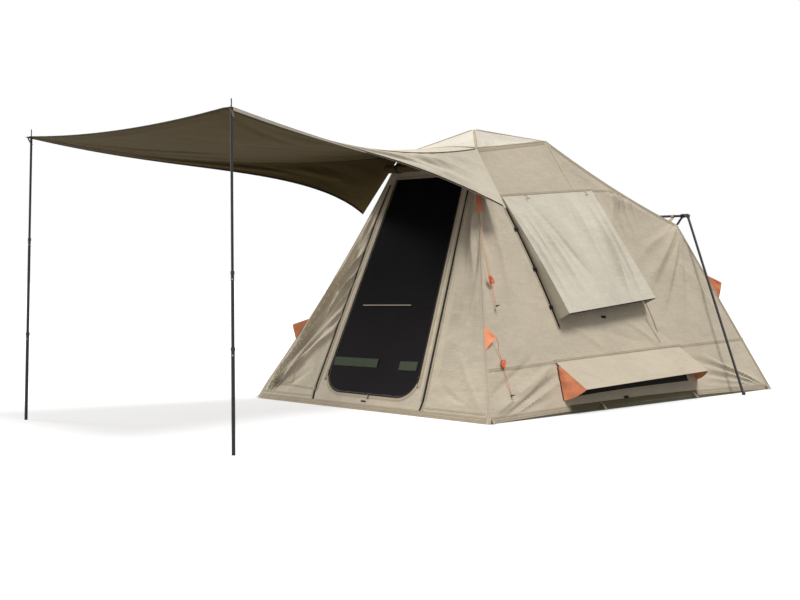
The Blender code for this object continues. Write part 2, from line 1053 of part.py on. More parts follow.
def hood_gusset(name, hood, end, wall_drop, flare, look):
    """The cheek between the wall and a flap's edge; flare spreads its foot on the wall."""
    outward = -1 if end == 0 else 1
    near = []
    far = []
    for flap_side in hood_rows(hood)[1:]:
        share = (flap_side - gusset_start) / (hood["drop"] - gusset_start)
        wall_side_distance = gusset_start + (wall_drop - gusset_start) * share
        # The inner row lies just off the wall, the outer one level with the flap's face.
        low_angle = -math.asin((flap_standoff - touch_gap) / wall_side_distance)
        first = []
        second = []
        for k in range(4):
            f = k / 3
            distance = wall_side_distance + (flap_side - wall_side_distance) * f
            angle = low_angle + (hood["open"] - low_angle) * f
            spread = gusset_gap + flare * (1 - f) * share
            s = hood_edge(hood, end, distance) + outward * spread
            lift = flap_thickness if k == 3 else 0
            first.append(hood_point(hood, s, distance, angle, lift))
            second.append(
                hood_point(hood, s + outward * gusset_thickness, distance, angle, lift)
            )
        near.append(first)
        far.append(second)
    form = bmesh.new()
    grid_body(form, near, far)
    return add_object(name, form, look)


def build_hoods():
    for side, word in ((1, "right"), (-1, "left")):
        window = window_hood(side)
        vent = vent_hood(side)
        hood_mesh("window_mesh_" + word, window)
        hood_mesh("vent_mesh_" + word, vent)
        hood_flap("window_flap_" + word, window, 12, 0.014)
        hood_flap("vent_flap_" + word, vent, 10, 0.006)
        for end, where in ((0, "front"), (1, "rear")):
            hood_gusset(
                "window_gusset_" + where + "_" + word,
                window,
                end,
                window_flap_drop,
                window_gusset_flare,
                canvas(),
            )
            hood_gusset(
                "vent_gusset_" + where + "_" + word,
                vent,
                end,
                vent_gusset_drop,
                vent_gusset_flare,
                orange_cloth(),
            )


# Awning


def awning_line(side, t, kind):
    """A long line of the awning from its front hem (t = 0) to the tent (t = 1). The crease
    and the wing's edge start on either side of the pole's head."""
    front = place(side * pole_top_half_width, -(pole_top_reach + awning_margin), awning_height)
    if kind == "crease":
        start = front - Vector((side * awning_margin, 0, 0))
        stand = (front_normal + side_normal(side)) * (awning_thickness * 0.5)
        end = corner("shoulder_front", side) + stand + Vector((0, 0, touch_gap * 2))
        return start.lerp(end, t) - Vector((0, 0, awning_crease_sag * 4 * t * (1 - t)))
    start = front + Vector((side * awning_margin, 0, 0))
    end = place(side * awning_tip_half_width, awning_tip_setback, awning_tip_height)
    shape = t**2.5 * (1 - t) / 0.1231
    drawn = Vector((-side * awning_edge_in * shape, 0, awning_edge_up * shape))
    return start.lerp(end, t) + drawn


def awning_point(t, w):
    """A point of the awning's upper face: w is -2 at the left wing's edge, -1 at the left
    crease, 0 on the centre line, and so on to 2 at the right wing's edge."""
    side = 1 if w >= 0 else -1
    if abs(w) > 1:
        f = abs(w) - 1
        crease = awning_line(side, t, "crease")
        edge = awning_line(side, t, "edge")
        point = crease.lerp(edge, f)
        out = Vector((side, 0, 0.6)).normalized()
        pleat = math.sin(3 * math.pi * f) * math.sin(math.pi * f) * math.sin(math.pi * t) * t
        return point + out * (0.02 * pleat)
    left = awning_line(-1, t, "crease")
    right = awning_line(1, t, "crease")
    point = left.lerp(right, (w + 1) / 2)
    across = 1 - w * w
    rise = front_edge_rise * up_in_plane(front_normal).z
    hem = -awning_hem_sag * (1 - t) + rise * t
    belly = (awning_crease_sag - awning_centre_sag) * 4 * t * (1 - t)
    back = up_in_plane(front_normal).y * front_edge_rise * t * t * across
    return point + Vector((0, back, across * (hem + belly)))


def awning_first_row():
    """The row of the awning that lies over the poles' heads."""
    return awning_margin / (pole_top_reach + awning_margin + front_shoulder_setback)


def awning():
    """One sheet with a level middle and two wings that hang beside the doorway."""
    across = steps([-2, -1, 1, 2], [4, 12, 4])
    first = awning_first_row()
    along = [0, first, 2 * first] + steps([2 * first, 1], [14])[1:]
    top = [[awning_point(t, w) for w in across] for t in along]
    sheet = bmesh.new()
    verts = [[sheet.verts.new(p) for p in row] for row in top]
    for i in range(len(along) - 1):
        for j in range(len(across) - 1):
            sheet.faces.new(
                (verts[i][j], verts[i][j + 1], verts[i + 1][j + 1], verts[i + 1][j])
            )
    made = add_object("awning", sheet, awning_canvas(), smooth=30)
    if made.data.polygons[0].normal.z < 0:
        made.data.flip_normals()
    shell = made.modifiers.new("Solidify", "SOLIDIFY")
    shell.thickness = awning_thickness
    shell.offset = -1
    shell.use_even_offset = False
    for side, word in ((1, "right"), (-1, "left")):
        form = bmesh.new()
        top_point = pole_point(side, 0)
        direction = pole_direction(side)
        rod(form, top_point - direction * 0.02, top_point + direction * 0.05, eyelet_radius, 12)
        boolean(made, add_object("cut_eyelet_" + word, form, awning_canvas()))
    return made


# Awning poles


def pole_head(side):
    """The middle of the pole's head, close under the sloping awning."""
    over = awning_point(awning_first_row(), awning_pole_place * side)
    return over - Vector((0, 0, awning_thickness + pole_seat_gap))


def pole_direction(side):
    """Up the pole."""
    high = pole_head(side)
    low = Vector((high.x + side * pole_splay_side, high.y - pole_splay_front, 0))
    return (high - low).normalized()


def pole_point(side, down):
    """A point on the pole's axis, a distance down from its top."""
    return pole_head(side) - pole_direction(side) * down


def pole_at_height(side, z):
    return pole_point(side, (pole_head(side).z - z) / pole_direction(side).z)


def hollow_tube(name, low, up, length, radius, wall, look, floor=0.0):
    """A tube with open ends, or with a closed foot of the given thickness."""
    form = bmesh.new()
    inner = radius - wall
    if floor:
        profile = [(0, 0), (radius, 0), (radius, length), (inner, length), (inner, floor), (0, floor)]
        lathe(form, low, up, profile, 16)
    else:
        profile = [(radius, 0), (radius, length), (inner, length), (inner, 0)]
        lathe(form, low, up, profile, 16, closed=True)
    return add_object(name, form, look, origin=low, smooth=40)


def build_poles():
    middle_radius = pole_lower_radius - pole_wall - pole_slide_clearance
    upper_radius = middle_radius - pole_wall - pole_slide_clearance
    for side, word, middle_top in (
        (1, "right", pole_middle_top_right),
        (-1, "left", pole_middle_top_left),
    ):
        up = pole_direction(side)
        foot = pole_at_height(side, abs(up.x) * pole_lower_radius + abs(up.y) * pole_lower_radius)
        lower = hollow_tube(
            "pole_lower_" + word,
            foot,
            up,
            pole_lower_length,
            pole_lower_radius,
            pole_wall,
            black_tube(),
            0.012,
        )
        low = pole_at_height(side, middle_top) - up * pole_middle_length
        middle = hollow_tube(
            "pole_middle_" + word,
            low,
            up,
            pole_middle_length,
            middle_radius,
            pole_wall,
            black_tube(),
        )
        # The spike stands on the closed head and passes through the awning's eyelet.
        form = bmesh.new()
        base = pole_point(side, pole_upper_length)
        inner = upper_radius - pole_wall
        head = pole_upper_length
        profile = [
            (inner, 0),
            (upper_radius, 0),
            (upper_radius, head - 0.0015),
            (upper_radius - 0.0012, head),
            (spike_radius, head),
            (spike_radius, head + spike_length - 0.006),
            (spike_radius * 0.5, head + spike_length),
            (0, head + spike_length),
        ]
        lathe(form, base, up, profile, 16)
        inner_profile = [(inner, 0), (inner, head - 0.02), (0, head - 0.02)]
        lathe(form, base, up, inner_profile, 16)
        upper = add_object("pole_upper_" + word, form, black_tube(), origin=base, smooth=40)
        slide = empty("pole_slide_middle_" + word, low)
        hang_on(middle, slide)
        hang_on(upper, empty("pole_head_" + word, pole_point(side, 0)))
        hang_on(lower, slide)


# Frame under the canvas


def frame_depth():
    return canvas_thickness + frame_clearance + frame_tube_radius


def frame_foot(where, side):
    """The middle of a leg's round foot, which stands on the floor sheet."""
    low = corner(where, side, frame_depth())
    top = frame_top(where, side)
    level = canvas_thickness + touch_gap + frame_foot_radius
    share = (level - low.z) / (top.z - low.z)
    return low.lerp(top, share)


def frame_top(where, side):
    key = "shoulder_front" if where == "base_front" else "shoulder_rear"
    return corner(key, side, frame_depth() + frame_tube_radius)


def bowed_middle():
    """The middle of the roof's front edge."""
    return front_edge(0)[2]


def hub_centre():
    """The hub hangs so low that its rim clears the steepest flank of the roof."""
    top = peak_at(canvas_thickness)
    rear = (corner("shoulder_rear", 1) + corner("shoulder_rear", -1)) / 2
    side = (corner("shoulder_front", 1) + corner("shoulder_rear", 1)) / 2
    falls = []
    for edge in (bowed_middle(), rear, side):
        run = (edge - peak).to_2d().length
        falls.append((peak.z - edge.z + 2 * roof_flank_sag) / run)
    rim = hub_height / 2 - hub_edge_fall
    return top - Vector((0, 0, rim + hub_radius * max(falls) + hub_clearance))


def build_inner_frame():
    centre = hub_centre()
    up = Vector((0, 0, 1))
    form = bmesh.new()
    half = hub_height / 2
    profile = [
        (0, -half),
        (hub_radius * 0.8, -half),
        (hub_radius, -half + 0.008),
        (hub_radius, half - hub_edge_fall),
        (hub_radius * 0.72, half),
        (hub_radius * 0.3, half + 0.012),
        (0, half + 0.014),
    ]
    lathe(form, centre, up, profile, 24)
    hub = add_object("frame_hub", form, black_plastic(), origin=centre, smooth=35)
    corners = (
        ("base_front", 1, "front_right"),
        ("base_front", -1, "front_left"),
        ("base_cabin", 1, "rear_right"),
        ("base_cabin", -1, "rear_left"),
    )
    for where, side, word in corners:
        shoulder = frame_top(where, side)
        flat = Vector((shoulder.x - centre.x, shoulder.y - centre.y, 0)).normalized()
        across = up.cross(flat)
        # A slot in the hub's rim takes the rafter's flat tang.
        slot = bmesh.new()
        box(
            slot,
            centre + flat * hub_radius,
            flat,
            across,
            up,
            (2 * tang_reach, hub_slot_width, hub_height * 3),
        )
        boolean(hub, add_object("cut_slot_" + word, slot, black_plastic()))
        build_rafter(word, centre, shoulder, flat, across)
        build_leg(word, where, side, shoulder)


def build_rafter(word, centre, shoulder, flat, across):
    start = centre + flat * (hub_radius + 0.004)
    line = (shoulder - start).normalized()
    end = shoulder - line * (knuckle_radius + touch_gap)
    form = bmesh.new()
    rod(form, start, end, frame_tube_radius, 14)
    rafter = add_object(
        "frame_rafter_" + word, form, black_tube(), origin=start, smooth=40
    )
    tang = bmesh.new()
    inner = centre + flat * (hub_radius - tang_reach + 0.004)
    middle = inner.lerp(start + flat * 0.006, 0.5)
    length = (start + flat * 0.006 - inner).length
    box(tang, middle, flat, across, Vector((0, 0, 1)), (length, tang_thickness, tang_height * 0.8))
    boolean(rafter, add_object("join_tang_" + word, tang, black_tube()), "UNION")


def ball_ends(length, low, high, tube):
    """The profile of a tube with a ball round each end of its axis."""
    profile = [(0, -low)]
    last = math.pi - math.asin(tube / low)
    for k in range(1, 6):
        turn = last * k / 5
        profile.append((low * math.sin(turn), -low * math.cos(turn)))
    first = math.asin(tube / high)
    for k in range(5):
        turn = first + (math.pi - first) * k / 5
        profile.append((high * math.sin(turn), length - high * math.cos(turn)))
    profile.append((0, length + high))
    return profile


def build_leg(word, where, side, shoulder):
    """A leg stands on the floor sheet on its round foot, and its ball meets the rafter."""
    foot = frame_foot(where, side)
    line = shoulder - foot
    profile = ball_ends(line.length, frame_foot_radius, knuckle_radius, frame_tube_radius)
    form = bmesh.new()
    lathe(form, foot, line, profile, 14)
    add_object("frame_leg_" + word, form, leg_tube(), origin=shoulder, smooth=40)


# Frame behind the tent


def rear_joint(side):
    return place(side * rear_joint_half_width, rear_joint_setback, rear_joint_height)


def rear_leg_direction(side):
    """From the joint down to the foot."""
    foot = place(side * rear_foot_half_width, rear_foot_setback, 0)
    return (foot - rear_joint(side)).normalized()


def rear_hinge_axis(side):
    """Square to both the crossbar and the leg."""
    return Vector((1, 0, 0)).cross(rear_leg_direction(side)).normalized()


def build_rear_frame():
    stop = rear_joint_half_width - fork_radius - 0.006
    form = bmesh.new()
    rod(
        form,
        place(-stop, rear_joint_setback, rear_joint_height),
        place(stop, rear_joint_setback, rear_joint_height),
        crossbar_radius,
    )
    add_object("rear_crossbar", form, black_tube(), smooth=40)
    for side, word in ((1, "right"), (-1, "left")):
        build_rear_knuckle(word, side, stop)
        build_rear_leg(word, side)
        build_rear_ties(word, side)


def build_rear_knuckle(word, side, stop):
    """A sleeve on the crossbar with a two-plate fork and the pin that carries the leg."""
    joint = rear_joint(side)
    out = Vector((side, 0, 0))
    axis = rear_hinge_axis(side)
    up = out.cross(axis)
    form = bmesh.new()
    end = place(side * stop, rear_joint_setback, rear_joint_height)
    bore = crossbar_radius + touch_gap
    # The sleeve is a cup: the crossbar's end goes in from the tent's side.
    profile = [
        (bore, -sleeve_length),
        (sleeve_radius, -sleeve_length),
        (sleeve_radius, 0.005),
        (0, 0.005),
    ]
    lathe(form, end, out, profile, 16)
    lathe(form, end, out, [(bore, -sleeve_length), (bore, touch_gap), (0, touch_gap)], 16)
    knuckle = add_object("rear_knuckle_" + word, form, black_plastic(), origin=joint, smooth=40)
    reach = joint - end
    for k in (-1, 1):
        plate = bmesh.new()
        outline = []
        back = -(reach.length - 0.001)
        start = joint + axis * (k * (fork_gap / 2 + (fork_plate if k < 0 else 0)))
        outline.append(start + out * back - up * fork_radius * 0.85)
        for m in range(9):
            turn = -math.pi / 2 + math.pi * m / 8
            outline.append(
                start + out * (fork_radius * math.cos(turn)) + up * (fork_radius * math.sin(turn))
            )
        outline.append(start + out * back + up * fork_radius * 0.85)
        prism(plate, outline, axis * fork_plate)
        name = "join_plate_" + word + ("_front" if k < 0 else "_back")
        boolean(knuckle, add_object(name, plate, black_plastic()), "UNION")
    pin = bmesh.new()
    half = fork_gap / 2 + fork_plate + 0.003
    rod(pin, joint - axis * half, joint + axis * half, fork_pin_radius, 12)
    boolean(knuckle, add_object("join_pin_" + word, pin, black_plastic()), "UNION")


def build_rear_leg(word, side):
    """The leg turns outwards on the fork's pin; its rubber foot is level with the ground."""
    joint = rear_joint(side)
    down = rear_leg_direction(side)
    axis = rear_hinge_axis(side)
    across = down.cross(axis)
    foot = place(side * rear_foot_half_width, rear_foot_setback, 0)
    eye_radius = fork_radius * 0.8
    eye_half = fork_gap / 2 - touch_gap
    tube_start = fork_radius + 0.009
    form = bmesh.new()
    stop = foot - down * (rear_foot_height * 0.5 / abs(down.z))
    rod(form, joint + down * tube_start, stop, rear_leg_radius, 16)
    leg = add_object("rear_leg_" + word, form, leg_tube(), origin=joint, smooth=40)
    eye = bmesh.new()
    outline = []
    base = joint - axis * eye_half
    for m in range(9):
        turn = math.pi * m / 8
        outline.append(
            base + across * (eye_radius * math.cos(turn)) - down * (eye_radius * math.sin(turn))
        )
    outline.append(base - across * eye_half + down * (tube_start + 0.006))
    outline.append(base + across * eye_half + down * (tube_start + 0.006))
    prism(eye, outline, axis * (2 * eye_half))
    boolean(leg, add_object("join_eye_" + word, eye, leg_tube()), "UNION")
    hole = bmesh.new()
    rod(
        hole,
        joint - axis * 0.03,
        joint + axis * 0.03,
        fork_pin_radius + fork_pin_clearance,
        12,
    )
    boolean(leg, add_object("cut_eye_" + word, hole, leg_tube()))
    shoe = bmesh.new()
    base = Vector((foot.x, foot.y, 0))
    rod(shoe, base, base + Vector((0, 0, rear_foot_height)), rear_foot_radius, 16)
    boolean(leg, add_object("join_shoe_" + word, shoe, black_plastic()), "UNION")


def build_rear_ties(word, side):
    """A black strap from the eave corner to the knuckle, and a webbing web on the crossbar."""
    joint = rear_joint(side)
    eave = outer_corner("eave_rear", side)
    end = joint - Vector((side, 0, 0)) * (fork_radius + 0.006 + sleeve_length * 0.5)
    outward = (slope_normal + rear_normal + side_normal(side)).normalized()
    start = eave + outward * (touch_gap * 2)
    ring_inner = sleeve_radius + touch_gap
    line = (end - start).normalized()
    form = bmesh.new()
    profile_low = -strap_width / 2
    profile = [
        (ring_inner, profile_low),
        (ring_inner, -profile_low),
        (ring_inner + strap_thickness, -profile_low),
        (ring_inner + strap_thickness, profile_low),
    ]
    lathe(form, end, Vector((1, 0, 0)), profile, 20, closed=True)
    strap = add_object("rear_strap_" + word, form, black_webbing(), smooth=40)
    tail = bmesh.new()
    across = Vector((1, 0, 0))
    across = (across - line * across.dot(line)).normalized()
    normal = line.cross(across)
    stop = end - line * (ring_inner + strap_thickness * 0.5)
    centre = start.lerp(stop, 0.5)
    box(tail, centre, line, across, normal, ((stop - start).length, strap_width, strap_thickness))
    boolean(strap, add_object("join_tail_" + word, tail, black_webbing()), "UNION")
    middle = Vector((side * (rear_joint_half_width - web_offset), joint.y, joint.z))
    form = bmesh.new()
    ring_inner = crossbar_radius + touch_gap
    half = web_width_top / 2
    profile = [
        (ring_inner, -half),
        (ring_inner, half),
        (ring_inner + strap_thickness, half),
        (ring_inner + strap_thickness, -half),
    ]
    lathe(form, middle, Vector((1, 0, 0)), profile, 20, closed=True)
    web = add_object("rear_web_" + word, form, webbing(), smooth=40)
    tail = bmesh.new()
    edge = outer_corner("eave_rear", side).lerp(outer_corner("eave_rear", -side), 0.09)
    low = edge + (slope_normal + rear_normal).normalized() * (touch_gap * 2.5)
    high = middle - Vector((0, 0, ring_inner + strap_thickness * 0.5))
    down = (low - high).normalized()
    normal = Vector((1, 0, 0)).cross(down).normalized()
    wide = web_width_bottom / 2
    x = Vector((1, 0, 0))
    outline = [high - x * half, high + x * half, low + x * wide, low - x * wide]
    prism(tail, [p - normal * (strap_thickness / 2) for p in outline], normal * strap_thickness)
    boolean(web, add_object("join_web_" + word, tail, webbing()), "UNION")


# Reflectors and guy ropes


def seam_point(end, side, z):
    """A point on the outer corner seam at a height."""
    low = outer_corner("base_" + end, side)
    key = "shoulder_front" if end == "front" else "eave_rear"
    edge = outer_corner(key, side) - low
    share = z / edge.z
    drawn = drawn_corner(side, share) if end == "front" else Vector((0, 0, 0))
    return low + edge * share + drawn


def reflector_ends(end, side):
    low, high = (reflector_low, reflector_high)
    if end == "rear":
        low, high = (rear_reflector_low, rear_reflector_high)
    return seam_point(end, side, low), seam_point(end, side, high)


def reflector_direction(end, side):
    """Straight out from the corner, except where a guy rope folds the tab back."""
    if end == "front" and side == 1:
        return (Vector((0, 1, 0)) + side_normal(side) * 0.55).normalized()
    normal = front_normal if end == "front" else rear_normal
    return (normal + side_normal(side)).normalized()


def reflector_tip(end, side):
    low, high = reflector_ends(end, side)
    return low.lerp(high, 0.45) + reflector_direction(end, side) * reflector_reach


def reflector(end, side, word):
    """A three-cornered cloth tab sewn into the corner seam."""
    low, high = reflector_ends(end, side)
    up = (high - low).normalized()
    out = reflector_direction(end, side)
    normal = front_normal if end == "front" else rear_normal
    folded = abs(out.dot(side_normal(side))) < 0.6
    stand = reflector_thickness * 0.5 + 3 * touch_gap if folded else 2 * touch_gap
    seat = (normal + side_normal(side)).normalized() * stand
    thick = up.cross(out).normalized()
    tip = reflector_tip(end, side)
    outline = [low + seat, tip + seat - up * 0.006, tip + seat + up * 0.006, high + seat]
    form = bmesh.new()
    prism(form, [p - thick * (reflector_thickness / 2) for p in outline], thick * reflector_thickness)
    return add_object("reflector_" + end + "_" + word, form, orange_cloth())


def rope_route(points, count):
    """Evenly spaced points on a smooth curve through the given ones."""
    full = [points[0] * 2 - points[1]] + points + [points[-1] * 2 - points[-2]]
    made = []
    spans = len(points) - 1
    for k in range(count + 1):
        at = spans * k / count
        i = min(int(at), spans - 1)
        f = at - i
        a, b, c, d = full[i : i + 4]
        made.append(
            (b * 2 + (c - a) * f + (a * 2 - b * 5 + c * 4 - d) * f**2 + (b * 3 - a - c * 3 + d) * f**3)
            / 2
        )
    return made


def side_face(setback, z, lift):
    """A point off the right-hand wall's outer face."""
    return place(half_width - side_lean * z, setback, z) + side_normal(1) * lift


def rope(name, points):
    curve = bpy.data.curves.new(name, "CURVE")
    curve.dimensions = "3D"
    curve.bevel_depth = rope_radius
    curve.bevel_resolution = 2
    curve.use_fill_caps = True
    line = curve.splines.new("POLY")
    line.points.add(len(points) - 1)
    for spot, p in zip(line.points, points):
        spot.co = (*p, 1)
    curve.materials.append(orange_rope())
    made = bpy.data.objects.new(name, curve)
    bpy.context.collection.objects.link(made)
    return made


def rope_lift():
    """How far a rope's middle lies off the wall where its runner lies flat on it."""
    return runner_thickness / 2 + touch_gap * 2


def upper_rope_points():
    """The last three points are evenly spaced on a straight line, for the runner."""
    lift = rope_lift()
    return [
        seam_point("front", 1, upper_rope_height) + side_normal(1) * (rope_radius + 3 * touch_gap),
        side_face(0.545, 1.250, lift - 0.0190),
        side_face(0.506, 1.025, lift - 0.0125),
        side_face(0.467, 0.800, lift - 0.0060),
    ]


def lower_rope_points():
    """The last five points are evenly spaced on a straight line, for the runner."""
    lift = rope_lift()
    tip = reflector_tip("front", 1) + side_normal(1) * 0.0037
    return [
        tip + Vector((0.0, 0.0, -0.004)),
        side_face(0.338, 0.530, lift + 0.014),
        side_face(0.336, 0.490, lift),
        side_face(0.332, 0.410, lift),
        side_face(0.328, 0.330, lift),
        side_face(0.324, 0.250, lift),
        side_face(0.320, 0.170, lift),
    ]


def runner(name, middle, along):
    """A flat three-hole line runner on the rope."""
    out = side_normal(1)
    across = along.cross(out).normalized()
    half = runner_length / 2
    outline = []
    for a, b in (
        (-1, -0.25),
        (-0.8, -0.8),
        (-0.2, -1),
        (0.6, -0.9),
        (1, -0.35),
        (1, 0.35),
        (0.6, 0.9),
        (-0.2, 1),
        (-0.8, 0.8),
        (-1, 0.25),
    ):
        outline.append(middle + along * (a * half) + across * (b * runner_width / 2))
    form = bmesh.new()
    prism(form, [p - out * (runner_thickness / 2) for p in outline], out * runner_thickness)
    made = add_object(name, form, orange_plastic(), origin=middle)
    hole = bmesh.new()
    rod(hole, middle - along * runner_length, middle + along * runner_length, runner_hole_radius, 12)
    boolean(made, add_object("cut_" + name, hole, orange_plastic()))
    return made


def build_ropes():
    for label, points, count, span, share in (
        ("upper", upper_rope_points(), 70, 2, 0.15),
        ("lower", lower_rope_points(), 42, 3, 0.25),
    ):
        rope("guy_rope_" + label, rope_route(points, count))
        along = (points[-1] - points[-2]).normalized()
        runner("rope_runner_" + label, points[span].lerp(points[span + 1], share), along)


def build():
    floor_tray()
    wall_front()
    wall_side("wall_right", 1)
    wall_side("wall_left", -1)
    wall_rear()
    roof_top()
    roof_rear()
    mesh_door()
    rolled_door()
    door_tie("door_tie_right", 1)
    door_tie("door_tie_left", -1)
    build_hoods()
    awning()
    build_poles()
    build_inner_frame()
    build_rear_frame()
    for end in ("front", "rear"):
        for side, word in ((1, "right"), (-1, "left")):
            reflector(end, side, word)
    build_ropes()


build()
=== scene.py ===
import math

import bmesh
import bpy
import numpy as np
from mathutils import Matrix, Vector


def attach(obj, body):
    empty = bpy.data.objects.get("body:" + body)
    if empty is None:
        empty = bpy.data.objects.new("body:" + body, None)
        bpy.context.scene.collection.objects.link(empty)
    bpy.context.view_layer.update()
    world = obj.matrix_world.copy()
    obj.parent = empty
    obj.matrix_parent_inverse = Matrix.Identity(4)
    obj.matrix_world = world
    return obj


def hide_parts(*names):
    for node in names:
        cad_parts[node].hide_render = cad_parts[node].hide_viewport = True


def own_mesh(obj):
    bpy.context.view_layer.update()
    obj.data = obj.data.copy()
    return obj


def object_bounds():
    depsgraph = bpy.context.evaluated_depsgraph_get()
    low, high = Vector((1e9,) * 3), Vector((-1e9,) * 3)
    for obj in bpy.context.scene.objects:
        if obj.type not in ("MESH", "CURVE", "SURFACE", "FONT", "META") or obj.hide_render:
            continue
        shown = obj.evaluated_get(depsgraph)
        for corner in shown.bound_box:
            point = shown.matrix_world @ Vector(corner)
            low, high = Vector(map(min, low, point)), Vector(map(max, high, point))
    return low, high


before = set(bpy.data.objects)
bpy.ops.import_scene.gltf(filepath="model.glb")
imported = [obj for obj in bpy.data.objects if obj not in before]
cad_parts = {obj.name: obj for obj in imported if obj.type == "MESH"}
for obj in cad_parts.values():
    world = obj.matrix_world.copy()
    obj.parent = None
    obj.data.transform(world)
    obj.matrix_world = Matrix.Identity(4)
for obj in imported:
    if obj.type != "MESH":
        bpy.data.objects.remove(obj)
cad_low, cad_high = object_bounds()

# Sizes are in metres. Setbacks are measured from the tent's front base line, along +Y.

# Canvas body
floor_width = 2.57
floor_length = 3.78
cabin_length = 2.50
front_shoulder_half_width = 0.42
front_shoulder_setback = 0.82
front_shoulder_height = 2.01
rear_shoulder_setback = 1.73
rear_shoulder_height = 2.13
rear_eave_setback = 3.23
rear_eave_height = 1.465
peak_setback = 1.25
peak_height = 2.225
front_edge_rise = 0.035
front_corner_draw = 0.050
rear_hip_sag = 0.05
side_hem_lift = 0.028
roof_flank_sag = 0.022
canvas_thickness = 0.0016
floor_upstand = 0.09
held_share = 0.068
fold_sharpness = 1.4
leg_foot_height = 0.035
leg_head_drop = 0.012
front_slack_top = 1.84

# Doorway and rolled door
door_bottom = 0.125
door_top = 1.80
door_half_width_low = 0.505
door_half_width_high = 0.365
door_corner_radius = 0.19
roll_radius = 0.037
roll_height = 1.874
roll_half_length = 0.485
roll_stand = 0.0395
roll_core = 0.0152
roll_turns = 3.0
tie_inset = 0.135
tie_width = 0.028

# Hoods
window_front = (0.934, 1.630)
window_rear = (2.130, 1.728)
window_drop = 1.045
window_lean = 0.095
window_open = 6.6
window_curve = 0.022
vent_front = (0.930, 0.372)
vent_rear = (2.590, 0.418)
vent_drop = 0.325
vent_lean = 0.02
vent_open = 31.5
vent_gusset_drop = 0.295
vent_gusset_flare = 0.075
flap_standoff = 0.0006
gusset_start = 0.035
net_thickness = 0.0008
window_net = (0.10, 0.80, 0.11)
vent_net = (0.035, 0.215, 0.045)
window_zip_inset = 0.020
window_guard_inset = 0.038
window_seam_inset = 0.030
flap_margin = 0.008
flap_fade = 0.045

# Awning
pole_top_half_width = 1.175
pole_top_reach = 2.101
awning_margin = 0.030
awning_height = 2.007
awning_hem_sag = 0.045
awning_crease_sag = 0.120
awning_centre_sag = 0.085
awning_tip = (0.797, 0.741, 1.530)
awning_edge_in = 0.160
awning_edge_up = 0.095
awning_run = 2.9
awning_fold_width = 1.17
awning_wing_depth = 0.62
awning_edge_peak = 0.1231
pole_foot_half_width = 1.225
pole_foot_reach = 2.131
pole_axis_inset = 0.006
pole_lower_radius = 0.0112
pole_middle_radius = 0.0097
pole_lower_top = 0.620
pole_middle_top = {1: 1.060, -1: 1.290}
button_drop = 0.045
collar_drop = 0.008
collar_inside = 0.0100

# Rear frame, reflectors and guy ropes
rear_joint = (0.700, 3.330, 1.550)
crossbar_radius = 0.011
sleeve_radius = 0.015
reflector_front = (0.49, 0.66)
reflector_rear = (0.81, 1.02)
reflector_reach = 0.085
rope_radius = 0.0019
rope_lift = 0.0056
hank_pitch = 0.0047
upper_rope_height = 1.497
hank_radius = 0.0021
hank_turns = 3.5
hank_half_length = 0.021
hank_half_width = 0.005
rope_line_foot = 0.286
rope_line_lean = 0.228
rope_line_low = 0.15
rope_line_high = 1.52

# Seams, tapes and webbing
corner_seam_inset = 0.016
edge_seam_inset = 0.018
zip_guard_gap = 0.019
tab_shift = 0.006
tab_lift = 0.0046
tape_thickness = 0.0014
tape_crown = 0.0004
web_thickness = 0.0022
strap_width = 0.026
strap_inset = 0.048
web_inset = 0.155
web_foot = 0.82
web_widths = (0.030, 0.075)
tie_clearance = 0.0004

sides = ((1, "right"), (-1, "left"))
ends = ((0, "front"), (1, "rear"))
east = np.array((1.0, 0, 0))
back = np.array((0, 1.0, 0))
up = np.array((0, 0, 1.0))
half_width = floor_width / 2
side_lean = (half_width - front_shoulder_half_width) / front_shoulder_height


# Points and directions, for one point or for arrays of them


def at(x, setback, z):
    """Points of the tent from distances across, setbacks and heights."""
    x, setback, z = np.broadcast_arrays(x, setback, z)
    return np.stack([x, setback - floor_length / 2, z], -1).astype(float)


def unit(vector):
    vector = np.asarray(vector, float)
    return vector / np.linalg.norm(vector, axis=-1, keepdims=True)


def times(amounts, vector):
    """A direction as many times as the amounts say."""
    return np.asarray(amounts)[..., None] * vector


def between(first, last, share):
    """Points a share of the way from the first points to the last ones."""
    return first + times(share, last - first)


def on_slope(x, height, way, setback=0.0):
    """Points at distances across and distances up a slope that stands on the ground."""
    return at(0, setback, 0) + times(x, east) + times(height, way)


def arch(share):
    """0 at both ends of a span and 1 in its middle."""
    return 4 * share * (1 - share)


def half_wave(share):
    return np.sin(math.pi * share)


def smooth(x, low, high):
    """Goes gently from 0 at low to 1 at high."""
    share = np.clip((np.asarray(x, float) - low) / (high - low), 0, 1)
    return share * share * (3 - 2 * share)


def ripple(x, y, seed, scale):
    """Soft uneven waves between about -1 and 1; the seed shifts them."""
    total = 0
    for k in range(5):
        turn = seed * 1.7 + k * 2.4
        rate = (1 + 0.37 * k) / scale
        total = total + np.sin(
            (x * math.cos(turn) + y * math.sin(turn)) * rate + seed * (k + 1.3)
        ) / (1 + 0.5 * k)
    return total / 2.6


def crease(x, y, start, end, width, height):
    """A fold from start to end across a flat panel; it is highest in its middle."""
    start = np.array(start, float)
    along = np.array(end, float) - start
    length = np.linalg.norm(along)
    along = along / length
    reach = (x - start[0]) * along[0] + (y - start[1]) * along[1]
    off = (x - start[0]) * -along[1] + (y - start[1]) * along[0]
    share = np.clip(reach / length, 0, 1)
    shape = half_wave(share) ** 0.7
    wide = width * (1 + 0.5 * share) * np.where(off > 0, 1.25, 0.62)
    return height * shape * np.exp(-np.abs(off / wide) ** (2 / fold_sharpness))


